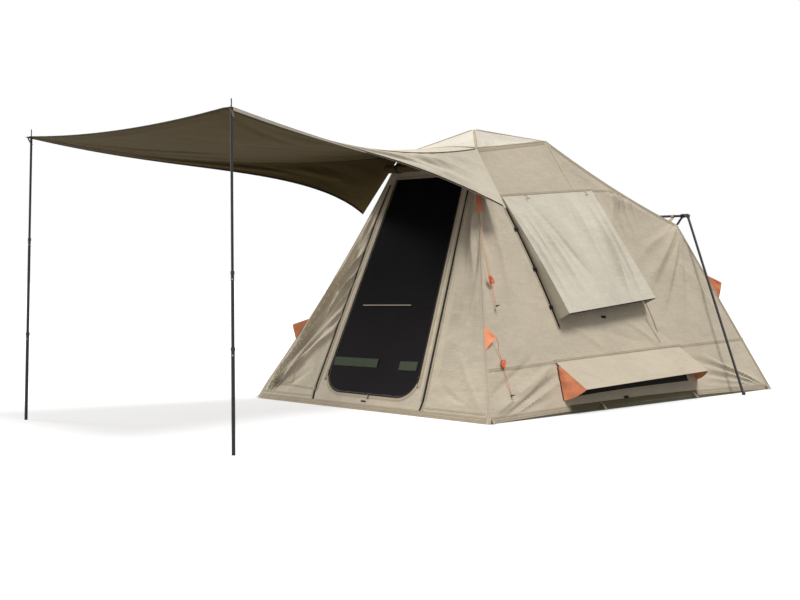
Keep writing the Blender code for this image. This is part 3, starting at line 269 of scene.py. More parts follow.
def fan(corner, reach, low, high, count, width, height):
    """Folds that spread from a corner between two angles in degrees, by turns up and down."""
    folds = []
    for k in range(count):
        turn = math.radians(low + (high - low) * (k + 0.35 * math.sin(2.3 * k)) / max(count - 1, 1))
        length = reach * (1 - 0.25 * math.sin(1.9 * k + 1) ** 2)
        end = (corner[0] + length * math.cos(turn), corner[1] + length * math.sin(turn))
        tall = height * (1 if k % 2 == 0 else -0.7) * (1 - 0.3 * math.sin(3.1 * k) ** 2)
        folds.append((corner, end, width, tall))
    return tuple(folds)


def pleats(x, y, focus, low, high, count, height, start, end):
    """Sharp ridges that spread from a point, between two angles in degrees and two distances."""
    over = x - focus[0]
    rise = y - focus[1]
    share = (np.degrees(np.arctan2(rise, over)) % 360 - low) / (high - low)
    radius = np.hypot(over, rise)
    drift = 0.35 * ripple(x, y, count + focus[0], 0.30)
    ridge = 1 - np.abs(np.sin(math.pi * (count * share + drift)))
    uneven = 0.75 + 0.35 * np.sin(5.1 * share + 3.3 * radius + focus[1])
    fade = half_wave(np.clip(share, 0, 1)) ** 0.5
    fade = fade * smooth(radius, start, start * 1.7 + 0.05) * smooth(-radius, -end, -end * 0.6)
    return height * (ridge**1.2 - 0.42) * uneven * fade


def folded(lift, x, y, folds, ridges=()):
    """A lift over a flat panel with the creases and the pleats of two tables added to it."""
    for fold in folds:
        lift = lift + crease(x, y, *fold)
    for rays in ridges:
        lift = lift + pleats(x, y, *rays)
    return lift


side_out = {s: unit((s, 0, side_lean)) for s in (1, -1)}
side_up = {s: unit((-s * side_lean, 0, 1)) for s in (1, -1)}
front_out = unit((0, -front_shoulder_height, front_shoulder_setback))
front_up = unit((0, front_shoulder_setback, front_shoulder_height))
rear_out = unit((0, rear_eave_height, floor_length - rear_eave_setback))
rear_up = unit((0, rear_eave_setback - floor_length, rear_eave_height))
slope_run = rear_eave_setback - rear_shoulder_setback
slope_fall = rear_shoulder_height - rear_eave_height
slope_out = unit((0, slope_fall, slope_run))


# Camera, and how objects come into the scene


def placed(name, data):
    made = bpy.data.objects.new(name, data)
    bpy.context.scene.collection.objects.link(made)
    return made


def aim(made, way, axis):
    """Turns an object so that one of its axes points a way."""
    made.rotation_mode = "QUATERNION"
    made.rotation_quaternion = Vector(way).to_track_quat(axis, "Y")


def make_camera():
    """The photograph's camera, as it was fitted to the tent's corners."""
    data = bpy.data.cameras.new("view")
    data.sensor_width = 36
    data.lens = 57.92
    data.clip_end = 200
    made = placed("view", data)
    made.location = (7.182, -8.5025, 1.079)
    turn, pitch = math.radians(45.683), math.radians(-1.417)
    level = math.cos(pitch)
    aim(made, (-math.sin(turn) * level, math.cos(turn) * level, math.sin(pitch)), "-Z")
    bpy.context.scene.camera = made


make_camera()


# Shader building


def math_node(operation, swapped=False):
    """A method of Wire that adds a Math node; swapped puts the wire itself last."""

    def build(wire, *others):
        values = (*others, wire) if swapped else (wire, *others)
        return wire.finish.add("Math", {"operation": operation}, dict(enumerate(values)))

    return build


class Wire:
    """One socket of a material; sums with it add Math nodes."""

    def __init__(self, finish, socket):
        self.finish = finish
        self.socket = socket

    __add__ = math_node("ADD")
    __radd__ = math_node("ADD", True)
    __sub__ = math_node("SUBTRACT")
    __rsub__ = math_node("SUBTRACT", True)
    __mul__ = math_node("MULTIPLY")
    __truediv__ = math_node("DIVIDE")
    sine = math_node("SINE")
    part = math_node("FRACT")
    size = math_node("ABSOLUTE")
    below = math_node("LESS_THAN")
    least = math_node("MINIMUM")
    most = math_node("MAXIMUM")


class Finish:
    """A material or a world under construction."""

    def __init__(self, holder):
        self.holder = holder
        holder.use_nodes = True
        self.tree = holder.node_tree
        self.tree.nodes.clear()

    def add(self, kind, settings=None, inputs=None, out=0):
        """Adds a node: its settings first, then the values and links of its sockets."""
        node = self.tree.nodes.new("ShaderNode" + kind)
        for key, value in (settings or {}).items():
            if key == "stops":
                while len(node.color_ramp.elements) < len(value):
                    node.color_ramp.elements.new(1)
                for element, (place, colour) in zip(node.color_ramp.elements, value):
                    element.position = place
                    element.color = (*colour, 1)
            else:
                setattr(node, key, value)
        for key, value in (inputs or {}).items():
            if isinstance(value, Wire):
                self.tree.links.new(value.socket, node.inputs[key])
            else:
                node.inputs[key].default_value = value
        return Wire(self, node.outputs[out]) if len(node.outputs) else None

    def blend(self, factor, first, second):
        """A colour between two others."""
        return self.add("Mix", {"data_type": "RGBA"}, {0: factor, 6: first, 7: second}, out=2)

    def uv(self):
        """Metres along and across the cloth."""
        spot = self.add("TexCoord", out=2)
        return self.axis(spot, 0), self.axis(spot, 1)

    def spot(self):
        return self.add("TexCoord", out=3)

    def axis(self, vector, which):
        return self.add("SeparateXYZ", None, {0: vector}, out=which)

    def noise(self, vector, scale, detail=3.0, rough=0.55, stretch=None):
        if stretch:
            vector = self.add("Mapping", None, {"Vector": vector, "Scale": stretch})
        values = {"Vector": vector, "Scale": scale, "Detail": detail, "Roughness": rough}
        return self.add("TexNoise", None, values)

    def tones(self, factor, rgb, *stops):
        """Shades of one colour that follow a factor; stops are (place, amount) pairs."""
        shades = [(place, shade(rgb, amount)[:3]) for place, amount in stops]
        return self.add("ValToRGB", {"stops": shades}, {0: factor})

    def bump(self, height, strength, distance, below=None):
        inputs = {"Height": height, "Strength": strength, "Distance": distance}
        if below is not None:
            inputs["Normal"] = below
        return self.add("Bump", None, inputs)

    def surface(self, **inputs):
        """The shader itself; keys are its sockets with _ for a space."""
        named = {key.replace("_", " "): value for key, value in inputs.items()}
        self.add("OutputMaterial", None, {0: self.add("BsdfPrincipled", None, named)})
        return self.holder


def new_finish(name):
    return Finish(bpy.data.materials.new(name))


def linear(level):
    level = level / 255
    return level / 12.92 if level <= 0.04045 else ((level + 0.055) / 1.055) ** 2.4


def colour(*rgb):
    return (*(linear(c) for c in rgb), 1)


def shade(rgb, amount):
    return colour(*(min(255, c * amount) for c in rgb))


def waves(wire, pitch):
    """A sine that comes round once a pitch."""
    return (wire * (2 * math.pi / pitch)).sine()


def woven(name, rgb, pitch=0.0024, rough=0.88, stitch=(), bump=1.0):
    """Plain-woven cloth: threads, uneven dye and small puckers, with rows of stitches where
    they are given as distances from the strip's middle."""
    finish = new_finish(name)
    along, across = finish.uv()
    spot = finish.spot()
    cloudy = finish.noise(spot, 1.7, 4.0)
    specks = finish.noise(spot, 38.0, 5.0, 0.7)
    threads = waves(along, pitch) * waves(across, pitch)
    slubs = finish.noise(spot, 1.0, 2.0, stretch=(9.0, 9.0, 140.0))
    tone = cloudy * 0.42 + specks * 0.28 + slubs * 0.22 + threads * 0.03
    base = finish.tones(tone, rgb, (0.22, 0.88), (0.50, 1.0), (0.80, 1.07))
    rumple = finish.noise(spot, 1.0, 3.0, 0.5, (4.0, 4.0, 6.5))
    lie = finish.bump(rumple, 0.5 * bump, 0.030)
    puckers = finish.noise(spot, 11.0, 6.0, 0.6)
    lie = finish.bump(puckers, 0.65 * bump, 0.010, lie)
    lie = finish.bump(threads * 0.5 + specks * 0.6, 0.25 * bump, 0.0012, lie)
    if stitch:
        dash = (along / 0.0062).part().below(0.66)
        rows = [(across - row).size().below(0.0011) * dash for row in stitch]
        line = sum(rows[1:], rows[0])
        base = finish.blend(line, base, shade(rgb, 0.62))
        lie = finish.bump(line, 0.5, 0.0008, lie)
    matt = 0.78 + specks * 0.2 if rough > 0.8 else rough
    return finish.surface(Base_Color=base, Roughness=matt, Normal=lie, Specular_IOR_Level=0.18)


canvas = woven("canvas", (201, 190, 170))
canvas_seam = woven("canvas_seam", (186, 173, 151), stitch=(-0.006, 0.006), bump=0.8)
canvas_hem = woven("canvas_hem", (180, 167, 146), stitch=(-0.010, 0.010))
canvas_flap = woven("canvas_flap", (213, 206, 190))
# Darker copy of the canvas for inner faces and the undersides of flaps: painted shade, not a
# different cloth.
canvas_inside_painted_shade = woven("canvas_inside_painted_shade", (122, 110, 84))
# Paler copy of the canvas for the roof: painted light of the bright sky on its top.
canvas_roof_painted_light = woven("canvas_roof_painted_light", (209, 203, 190))
awning_top = woven("awning_top", (206, 197, 180))
awning_hem = woven("awning_hem", (66, 58, 42), stitch=(-0.008, 0.008))
# Dark olive copy of the canvas for the awning's underside and the rolled door: painted shade.
awning_under_painted_shade = woven("awning_under_painted_shade", (91, 78, 48))
# Dark olive for the middle of the side walls' hem, below the vent hoods: painted shade with a green
# cast.
olive_painted_shade = woven("olive_painted_shade", (112, 103, 78))
olive_mesh = woven("olive_mesh", (64, 72, 56))
# An orange paler than the cloth's own: painted shine of the reflective cloth, and painted light on
# cheeks that lie in shade.
orange_cloth = woven("orange_cloth", (255, 163, 121), rough=0.6, pitch=0.003)
dark_tape = woven("dark_tape", (24, 20, 17), rough=0.7, pitch=0.0035, stitch=(-0.007, 0.007))
beige_web = woven("beige_web", (176, 164, 140), pitch=0.004, stitch=(-0.009, 0.009))
floor_cloth = woven("floor_cloth", (86, 82, 66), rough=0.5, pitch=0.004)


def netting_finish():
    """Netting, darker where it hangs high under the awning: painted shade that grows towards the
    top.
    """
    finish = new_finish("netting")
    along, across = finish.uv()
    spot = finish.spot()
    cells = waves(along, 0.0042).size() * waves(across, 0.0042).size()
    drift = finish.noise(spot, 2.4, 3.0)
    # Painted shade: the colour goes from dark at 1.1 m up to lighter near the ground.
    low = finish.add("MapRange", None, {0: finish.axis(spot, 2), 1: 1.1, 2: 0.1, 3: 0.0, 4: 0.8})
    base = finish.blend(low + drift * 0.3 - 0.1, colour(4, 4, 5), colour(36, 32, 36))
    lie = finish.bump(cells, 0.3, 0.0006)
    seen = 0.99 - cells * 0.05
    return finish.surface(
        Base_Color=base, Roughness=0.72, Alpha=seen, Normal=lie, Specular_IOR_Level=0.03
    )


def tube_finish(name, rgb, metallic, rough):
    """Powder-coated tube with rubbed streaks along it and a fine orange-peel skin."""
    finish = new_finish(name)
    spot = finish.spot()
    streaks = finish.noise(spot, 1.0, 4.0, stretch=(60.0, 60.0, 3.0))
    peel = finish.noise(spot, 900.0, 2.0)
    worn = finish.noise(spot, 14.0, 4.0)
    rubbed = streaks * 0.7 + worn * 0.3
    base = finish.tones(rubbed, rgb, (0.3, 0.9), (0.62, 1.0), (0.8, 1.2))
    matt = rough + streaks * 0.18 + worn * 0.06
    lie = finish.bump(peel, 0.12, 0.0004)
    return finish.surface(Base_Color=base, Metallic=metallic, Roughness=matt, Normal=lie)


def plastic_finish(name, rgb, rough=0.45):
    """Moulded plastic with a fine grain and slightly scuffed high places."""
    finish = new_finish(name)
    spot = finish.spot()
    grain = finish.noise(spot, 700.0, 3.0, 0.6)
    scuff = finish.noise(spot, 45.0, 5.0, 0.65)
    base = finish.tones(scuff, rgb, (0.3, 0.86), (0.6, 1.0), (0.8, 1.18))
    matt = rough + grain * 0.12 + scuff * 0.1
    return finish.surface(Base_Color=base, Roughness=matt, Normal=finish.bump(grain, 0.2, 0.0003))


def rope_finish():
    """Braided cord: two sets of strands wind round it in opposite directions."""
    finish = new_finish("rope_braid")
    along, around = finish.uv()
    lengthwise = along * (2 * math.pi / 0.0046)
    turning = around * (2 * math.pi * 3)
    strands = (lengthwise + turning).sine() * (lengthwise - turning).sine()
    base = finish.blend(strands * 0.5 + 0.5, colour(222, 98, 62), colour(254, 146, 104))
    return finish.surface(Base_Color=base, Roughness=0.7, Normal=finish.bump(strands, 0.8, 0.0005))


def zip_finish():
    """Coil zip: dark tape with a row of teeth down its middle."""
    finish = new_finish("zip")
    along, across = finish.uv()
    teeth = waves(along, 0.0024) * across.size().below(0.003)
    ribs = waves(across, 0.0016) * 0.3
    dust = finish.noise(finish.spot(), 30.0, 4.0)
    base = finish.blend(dust, colour(12, 10, 9), colour(30, 26, 22))
    lie = finish.bump(teeth + ribs, 0.7, 0.0006)
    matt = 0.5 + dust * 0.2
    return finish.surface(Base_Color=base, Roughness=matt, Normal=lie, Specular_IOR_Level=0.12)


netting = netting_finish()
pole_coat = tube_finish("pole_coat", (16, 16, 18), 0.2, 0.34)
leg_coat = tube_finish("leg_coat", (62, 63, 68), 0.5, 0.26)
hub_plastic = plastic_finish("hub_plastic", (30, 30, 32))
orange_plastic = plastic_finish("orange_plastic", (246, 100, 48), 0.36)
dark_plastic = plastic_finish("dark_plastic", (24, 24, 25), 0.4)
steel = tube_finish("steel", (168, 168, 170), 0.9, 0.24)
braid = rope_finish()
zipper = zip_finish()


# Cloth and ribbons


def finished(name, verts, faces, looks, slots=None, uvs=None, angle=50.0):
    """A mesh object at the origin, smooth except over sharp edges."""
    mesh = bpy.data.meshes.new(name)
    mesh.from_pydata(np.asarray(verts, float).tolist(), [], faces)
    for look in looks:
        mesh.materials.append(look)
    if slots is not None:
        mesh.polygons.foreach_set("material_index", slots)
    layer = mesh.uv_layers.new(name="threads")
    corners = np.zeros(len(mesh.loops), np.int32)
    mesh.loops.foreach_get("vertex_index", corners)
    layer.data.foreach_set("uv", np.asarray(uvs, np.float32)[corners].ravel())
    mesh.update()
    mesh.shade_smooth()
    mesh.set_sharp_from_angle(angle=math.radians(angle))
    return placed(name, mesh)


def grid_normals(grid):
    down = np.gradient(grid, axis=0)
    over = np.gradient(grid, axis=1)
    return unit(np.cross(over, down) + 1e-12)


def thread_lengths(grid):
    """Metres along the rows and along the columns of a grid, from its middle."""
    rows = np.linalg.norm(np.diff(grid, axis=1), axis=-1)
    columns = np.linalg.norm(np.diff(grid, axis=0), axis=-1)
    along = np.concatenate([np.zeros((len(grid), 1)), np.cumsum(rows, 1)], 1)
    across = np.concatenate([np.zeros((1, grid.shape[1])), np.cumsum(columns, 0)], 0)
    return along - along[:, -1:] / 2, across - across[-1:, :] / 2


def cloth(name, grid, thickness, looks, out, body="tent", keep=None, offset=0.0, turned=False):
    """A closed sheet whose outer face is a grid of points in rows and columns. The way out, or
    where turned is set a point inside the piece, tells the outer face."""
    normals = grid_normals(grid)
    outward = grid - np.asarray(out, float) if turned else np.asarray(out, float)
    flipped = np.sum(normals * outward) < 0
    if flipped:
        normals = -normals
    rows, columns = grid.shape[:2]
    count = rows * columns
    outer = grid + normals * offset
    inner = outer - normals * thickness
    verts = np.concatenate([outer.reshape(-1, 3), inner.reshape(-1, 3)])
    uvs = np.stack(thread_lengths(grid), -1).reshape(-1, 2)
    kept = np.ones((rows - 1, columns - 1), bool) if keep is None else keep
    i, j = np.nonzero(kept)
    first = i * columns + j
    front = np.stack([first, first + 1, first + columns + 1, first + columns], -1)
    if flipped:
        front = front[:, ::-1]
    inside = front[:, ::-1] + count
    edges = dict.fromkeys((face[k], face[(k + 1) % 4]) for face in front.tolist() for k in range(4))
    rim = [[q, p, p + count, q + count] for p, q in edges if (q, p) not in edges]
    faces = front.tolist() + inside.tolist() + rim
    slots = [0] * len(front) + [len(looks) - 1] * len(inside) + [0] * len(rim)
    made = finished(name, verts, faces, looks, slots, np.concatenate([uvs, uvs]))
    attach(made, body)
    return made


def panel(name, node, grid, looks, out, held, rests, thickness=canvas_thickness, keep=None, **more):
    """A sheet of cloth that stands for a soft CAD piece."""
    made = cloth(name, grid, thickness, looks, out, keep=keep, **more)
    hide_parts(node)
    return made


def inside_outline(x, y, outline):
    """Which points lie inside a closed outline of (x, y) points."""
    inside = np.zeros(np.shape(x), bool)
    for (x0, y0), (x1, y1) in zip(outline, outline[1:] + outline[:1]):
        crosses = (y0 > y) != (y1 > y)
        rise = y1 - y0 if y1 != y0 else 1e-12
        inside ^= crosses & (x < (x1 - x0) * (y - y0) / rise + x0)
    return inside


def nearest_on(x, y, outline):
    """The nearest points on a closed outline."""
    best = np.full(np.shape(x), 1e9)
    spot_x, spot_y = x.copy(), y.copy()
    for (x0, y0), (x1, y1) in zip(outline, outline[1:] + outline[:1]):
        dx, dy = x1 - x0, y1 - y0
        t = np.clip(((x - x0) * dx + (y - y0) * dy) / max(dx * dx + dy * dy, 1e-12), 0, 1)
        px, py = x0 + dx * t, y0 + dy * t
        far = (x - px) ** 2 + (y - py) ** 2
        closer = far < best
        best = np.where(closer, far, best)
        spot_x = np.where(closer, px, spot_x)
        spot_y = np.where(closer, py, spot_y)
    return spot_x, spot_y


def cell_corners(grid):
    """The four corner values of every cell of a grid."""
    return grid[1:, 1:], grid[:-1, :-1], grid[1:, :-1], grid[:-1, 1:]


def open_up(x, y, outlines):
    """Takes the openings out of a flat grid and draws its new rims on to their outlines."""
    keep = np.ones((x.shape[0] - 1, x.shape[1] - 1), bool)
    for outline in outlines:
        middle = [sum(cell_corners(grid)) / 4 for grid in (x, y)]
        gone = inside_outline(*middle, outline)
        keep &= ~gone
        near = cell_corners(np.pad(gone, 1))
        rim = np.logical_or.reduce(near) & ~np.logical_and.reduce(near)
        near_x, near_y = nearest_on(x, y, outline)
        x = np.where(rim, near_x, x)
        y = np.where(rim, near_y, y)
    return x, y, keep


def path_points(stops, step=0.02):
    """Evenly spaced points along straight stretches between stops."""
    stops = [np.array(p, float) for p in stops]
    made = [stops[0]]
    for a, b in zip(stops, stops[1:]):
        count = max(1, int(np.linalg.norm(b - a) / step))
        made += [a + (b - a) * (k + 1) / count for k in range(count)]
    return np.array(made)


def with_ends(points):
    """Points with one more beyond each end."""
    return [2 * points[0] - points[1], *points, 2 * points[-1] - points[-2]]


def curve_point(full, i, f):
    """A point of the smooth curve through a list from with_ends, a share f after its stop i."""
    a, b, c, d = full[i : i + 4]
    bend = (2 * a - 5 * b + 4 * c - d) * f**2 + (3 * b - a - 3 * c + d) * f**3
    return (2 * b + (c - a) * f + bend) / 2


def rounded_path(stops, step=0.02):
    """A smooth path through the stops."""
    full = with_ends(list(np.array(stops, float)))
    made = []
    for i in range(len(full) - 3):
        count = max(2, int(np.linalg.norm(full[i + 2] - full[i + 1]) / step))
        made += [curve_point(full, i, m / count) for m in range(count)]
    return np.array(made + [full[-2]])


def ribbon(name, surface, path, width, look, slot, out, lift=0.0003, body="tent"):
    """A flat strip that lies on a surface, along a path in the surface's own two measures."""
    run = unit(np.gradient(path, axis=0))
    over = np.stack([-run[:, 1], run[:, 0]], -1)
    share = np.linspace(-1, 1, 5)
    spots = path[:, None, :] + over[:, None, :] * (share * width / 2)[None, :, None]
    grid = surface(spots[..., 0], spots[..., 1])
    normals = grid_normals(grid)
    if np.sum(normals * np.asarray(out, float)) < 0:
        normals = -normals
    raised = lift + tape_thickness + tape_crown * (1 - share**2)
    grid = grid + normals * raised[None, :, None]
    cloth(name, grid.transpose(1, 0, 2), tape_thickness, [look], out, body)


def tape(name, points, normals, width, look, thickness):
    """A strip in the open, from its middle line and the way that it faces at each point."""
    points = np.asarray(points, float)
    normals = unit(np.broadcast_to(np.asarray(normals, float), points.shape))
    over = unit(np.cross(normals, unit(np.gradient(points, axis=0))))
    wide = np.broadcast_to(np.asarray(width, float), (len(points),))
    aside = np.linspace(-1, 1, 5)[:, None] * wide[None, :] / 2
    made = cloth(name, points + times(aside, over), thickness, [look], normals.mean(0))
    return made


def cord_mesh(name, points, radius, look, sides=10, body="tent"):
    """A round cord along a line of points; UVs are metres along it and turns round it."""
    points = np.asarray(points, float)
    run = unit(np.gradient(points, axis=0))
    side = unit(np.cross(run[0], (0.3, 0.1, 1)))
    turn = np.linspace(0, 2 * math.pi, sides + 1)[:-1, None]
    rings = []
    for point, way in zip(points, run):
        side = unit(side - way * np.dot(side, way))
        other = np.cross(way, side)
        rings.append(point + radius * (np.cos(turn) * side + np.sin(turn) * other))
    steps = np.linalg.norm(np.diff(points, axis=0), axis=1)
    uvs = [(far, m / sides) for far in (0, *np.cumsum(steps)) for m in range(sides)]
    last = (len(rings) - 1) * sides
    faces = []
    for k in range(0, last, sides):
        for m in range(sides):
            n = (m + 1) % sides
            faces.append([k + m, k + n, k + n + sides, k + m + sides])
    faces += [list(range(sides))[::-1], list(range(last, last + sides))]
    made = finished(name, np.concatenate(rings), faces, [look], None, uvs, 60)
    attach(made, body)
    return made


# Guy ropes, which repeat the routes of the CAD part


def seam_draw(z):
    """How far the front corner seam is drawn in at a height."""
    return front_corner_draw * arch(free_part(z / front_shoulder_height))


def free_part(share, top=1.0):
    """0 to 1 over the part of a panel's height that nothing holds."""
    return np.clip((share - held_share) / (top - held_share), 0, 1)


def front_width(z):
    return half_width - side_lean * z


def side_front_edge(z):
    return front_shoulder_setback * z / front_shoulder_height


def front_seam(side, z):
    """Points on a front corner seam."""
    inward = unit((-side, 1, 0))
    return at(side * front_width(z), side_front_edge(z), z) + times(seam_draw(z), inward)


def side_plane(side, setback, z, lift=0.0):
    return at(side * front_width(z), setback, z) + times(lift, side_out[side])


def rope_curve(points, count):
    """Evenly spaced points on a smooth curve through the given ones."""
    full = with_ends(points)
    spans = len(points) - 1
    made = []
    for k in range(count + 1):
        place = spans * k / count
        i = min(int(place), spans - 1)
        made.append(curve_point(full, i, place - i))
    return np.array(made)


def reflector_way(end, side):
    """The way a reflector tab points: straight out, or folded back where a rope holds it."""
    if end == "front" and side == 1:
        return unit(np.array((0, 1, 0)) + side_out[side] * 0.55)
    return unit((front_out if end == "front" else rear_out) + side_out[side])


def rear_seam_setback(z):
    return floor_length - (floor_length - rear_eave_setback) * z / rear_eave_height


def reflector_line(end, side):
    """The seam between the two ends of a reflector."""
    if end == "front":
        return [front_seam(side, np.array(z)) for z in reflector_front]
    return [at(side * front_width(z), rear_seam_setback(z), z) for z in reflector_rear]


def reflector_tip(end, side):
    low, high = reflector_line(end, side)
    return low + (high - low) * 0.45 + reflector_way(end, side) * reflector_reach


def make_ropes():
    seam = front_seam(1, np.array(upper_rope_height)) + side_out[1] * (rope_radius + 0.0009)
    tip = reflector_tip("front", 1) + side_out[1] * 0.0037 - up * 0.004
    upper = ((0.545, 1.250, -0.0190), (0.506, 1.025, -0.0125), (0.467, 0.800, -0.0060))
    lower = (
        (0.338, 0.530, 0.014),
        (0.336, 0.490, 0),
        (0.332, 0.410, 0),
        (0.328, 0.330, 0),
        (0.324, 0.250, 0),
        (0.320, 0.170, 0),
    )
    for label, start, stops, count in (("upper", seam, upper, 70), ("lower", tip, lower, 42)):
        wall = [side_plane(1, setback, z, rope_lift + lift) for setback, z, lift in stops]
        route = rope_curve([start, *wall], count)
        made = cord_mesh("cord_" + label, route, rope_radius, braid)
        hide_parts("guy_rope_" + label)


make_ropes()


# Hoods: their folds, in metres along and down, and how each one hangs from its hinge


window_flap_folds = (
    ((1.06, 0.02), (0.86, 1.03), 0.020, 0.0572),
    ((1.16, 0.06), (1.02, 1.03), 0.014, 0.0484),
    ((1.13, 0.04), (0.95, 1.00), 0.012, -0.0308),
    ((0.03, 0.06), (0.10, 1.00), 0.018, 0.0396),
    ((0.10, 0.05), (0.20, 0.98), 0.020, -0.0220),
    ((0.24, 0.02), (0.34, 0.96), 0.026, 0.0220),
    ((0.27, 0.02), (0.52, 0.80), 0.020, -0.0132),
    ((0.84, 0.02), (0.72, 0.92), 0.028, 0.0220),
    ((0.80, 0.03), (0.58, 0.62), 0.022, -0.0132),
)
window_flap_pleats = (
    ((1.26, -0.9), 92, 102, 3, 0.022, 0.85, 2.3),
    ((0.10, -0.9), 76, 92, 4, 0.026, 0.85, 2.0),
)
vent_flap_folds = (
    ((0.06, 0.02), (0.36, 0.31), 0.016, 0.010),
    ((1.60, 0.02), (1.30, 0.31), 0.016, 0.010),
    ((0.60, 0.03), (0.78, 0.30), 0.022, 0.006),
    ((1.08, 0.03), (1.00, 0.31), 0.020, 0.006),
    ((0.30, 0.30), (1.40, 0.26), 0.020, 0.005),
)


class Hood:
    """One hood of a side wall: where its hinge starts, its directions, its sizes and its cloth."""

    def __init__(self, side, kind, line, drop, lean, opened, curve, net, wave, rows, folds, ridges):
        self.side = side
        self.kind = kind
        self.word = "right" if side > 0 else "left"
        self.out = side_out[side]
        self.start, end = (side_plane(side, *map(np.array, spot), flap_standoff) for spot in line)
        self.along = unit(end - self.start)
        self.length = float(np.linalg.norm(end - self.start))
        down = np.cross(self.along, self.out)
        self.down = -down if down[2] > 0 else down
        self.drop, self.lean, self.curve = drop, lean, curve
        self.opened = math.radians(opened)
        self.net = net
        self.wave, self.rows, self.folds, self.ridges = wave, rows, folds, ridges

    def clear(self, setback, z):
        """0 where the hood lies on the wall and 1 well away from it."""
        points = side_plane(self.side, setback, z, np.zeros(np.shape(z))) - self.start
        a, d = points @ self.along, points @ self.down
        a = a - self.lean * d / self.drop
        over = np.maximum(np.maximum(-a, a - self.length), 0)
        below = np.maximum(np.maximum(-d, d - self.drop), 0)
        return smooth(np.sqrt(over**2 + below**2), flap_margin, flap_margin + flap_fade)

    def net_corners(self, inset=0.0):
        """The corners of the netting behind the flap as (setback, height) points."""
        top, bottom, margin = self.net
        made = []
        for end, distance in ((0, top), (1, top), (1, bottom), (0, bottom)):
            s = self.length * end + self.lean * distance / self.drop
            s += self.curve + margin + inset if end == 0 else -margin - inset
            d = distance + (inset if distance == top else -inset)
            point = self.start + self.along * s + self.down * d
            made.append((float(point[1] + floor_length / 2), float(point[2])))
        return made

    def point(self, s, distance, angle, lift=0.0):
        """Points at distances along and from the hinge, on a plane turned out by an angle."""
        ray = times(np.cos(angle), self.down) + times(np.sin(angle), self.out)
        over = times(np.cos(angle), self.out) - times(np.sin(angle), self.down)
        return self.start + times(s, self.along) + ray * distance[..., None] + times(lift, over)

    def edge(self, end, distance):
        """How far along the hinge the front (0) or rear (1) edge lies at a distance from it."""
        f = np.clip(distance / self.drop, 0, 1)
        curved = self.curve * arch(f) if end == 0 else 0 * f
        return self.length * end + self.lean * f + curved

    def flap_points(self, f, v, lift):
        """Points over the open flap, from 0 to 1 along the hinge and down."""
        distance = v * self.drop
        low = self.edge(0, distance)
        s = low + (self.edge(1, distance) - low) * f
        return self.point(s, distance, np.full(f.shape, self.opened), lift)

    def path(self, end, distances, shift):
        """Points of the wall beside an edge of the hood, as setbacks and heights."""
        made = []
        for distance in distances:
            s = float(self.edge(end, np.array(distance))) + shift
            point = self.start + self.along * s + self.down * distance
            made.append((point[1] + floor_length / 2, point[2]))
        return made


windows = {
    s: Hood(
        s, "window", (window_front, window_rear), window_drop, window_lean, window_open,
        window_curve, window_net, 0.014, 121, window_flap_folds, window_flap_pleats,
    )
    for s in (1, -1)
}
vents = {
    s: Hood(
        s, "vent", (vent_front, vent_rear), vent_drop, vent_lean, vent_open,
        0.0, vent_net, 0.006, 41, vent_flap_folds, (),
    )
    for s in (1, -1)
}


# Canvas panels: each is a surface in two measures of its own


def side_top(setback):
    """The height of the side wall's top edge at a setback."""
    front = front_shoulder_height + (rear_shoulder_height - front_shoulder_height) * (
        (setback - front_shoulder_setback) / (rear_shoulder_setback - front_shoulder_setback)
    )
    f = np.clip((setback - rear_shoulder_setback) / slope_run, 0, 1)
    rear = rear_shoulder_height - slope_fall * f - rear_hip_sag * side_up[1][2] * arch(f)
    return np.where(setback < rear_shoulder_setback, front, rear)


def side_rear_edge(z):
    hip = rear_eave_setback - (z - rear_eave_height) / slope_fall * slope_run
    return np.where(z < rear_eave_height, rear_seam_setback(z), hip)


def deepest(z):
    """How far in a wall's cloth may go: hardly at all beside the floor's turned-up edge."""
    return -0.0010 - 0.06 * smooth(z, floor_upstand + 0.015, floor_upstand + 0.15)


side_folds = (
    ((0.90, 0.37), (0.03, 0.03), 0.030, 0.030),
    ((0.94, 0.30), (0.14, 0.02), 0.022, -0.018),
    ((0.92, 0.24), (0.26, 0.03), 0.018, 0.012),
    ((0.72, 0.44), (0.02, 0.14), 0.026, -0.014),
    ((0.58, 0.62), (0.08, 0.24), 0.030, 0.010),
    ((0.74, 1.80), (0.44, 0.86), 0.040, -0.018),
    ((0.80, 1.62), (0.60, 0.66), 0.036, 0.016),
    ((0.66, 1.50), (0.30, 0.80), 0.030, -0.012),
    ((0.98, 1.20), (0.90, 0.44), 0.040, 0.012),
    ((2.62, 1.76), (2.46, 1.02), 0.050, 0.020),
    ((3.18, 1.42), (2.42, 0.92), 0.060, 0.030),
    ((3.20, 1.30), (2.52, 0.60), 0.044, -0.016),
    ((3.24, 1.18), (2.96, 0.50), 0.050, 0.018),
    ((2.40, 1.74), (2.30, 1.10), 0.030, -0.014),
    ((2.96, 1.52), (2.16, 1.76), 0.036, 0.012),
    ((3.44, 0.62), (2.98, 1.24), 0.040, 0.012),
    ((1.22, 0.66), (1.62, 0.42), 0.030, 0.010),
    ((1.50, 0.62), (2.16, 0.46), 0.026, -0.008),
    ((1.96, 0.66), (2.34, 0.44), 0.022, 0.010),
    ((2.16, 0.68), (2.56, 0.46), 0.020, -0.008),
    *fan((3.74, 0.03), 1.15, 160, 176, 6, 0.022, 0.020),
    *fan((3.30, 1.46), 0.95, 196, 246, 4, 0.040, 0.018),
    *fan((2.52, 1.80), 0.60, 232, 262, 3, 0.022, 0.014),
)


side_pleats = (
    ((-0.10, -0.05), 9, 27, 3, 0.030, 0.14, 1.05),
    ((3.88, -0.03), 156, 177, 5, 0.026, 0.14, 1.25),
    ((3.36, 1.58), 196, 252, 5, 0.026, 0.14, 1.15),
    ((0.80, 2.40), 238, 272, 5, 0.030, 0.50, 1.70),
    ((2.46, 2.30), 250, 290, 5, 0.020, 0.35, 1.00),
)


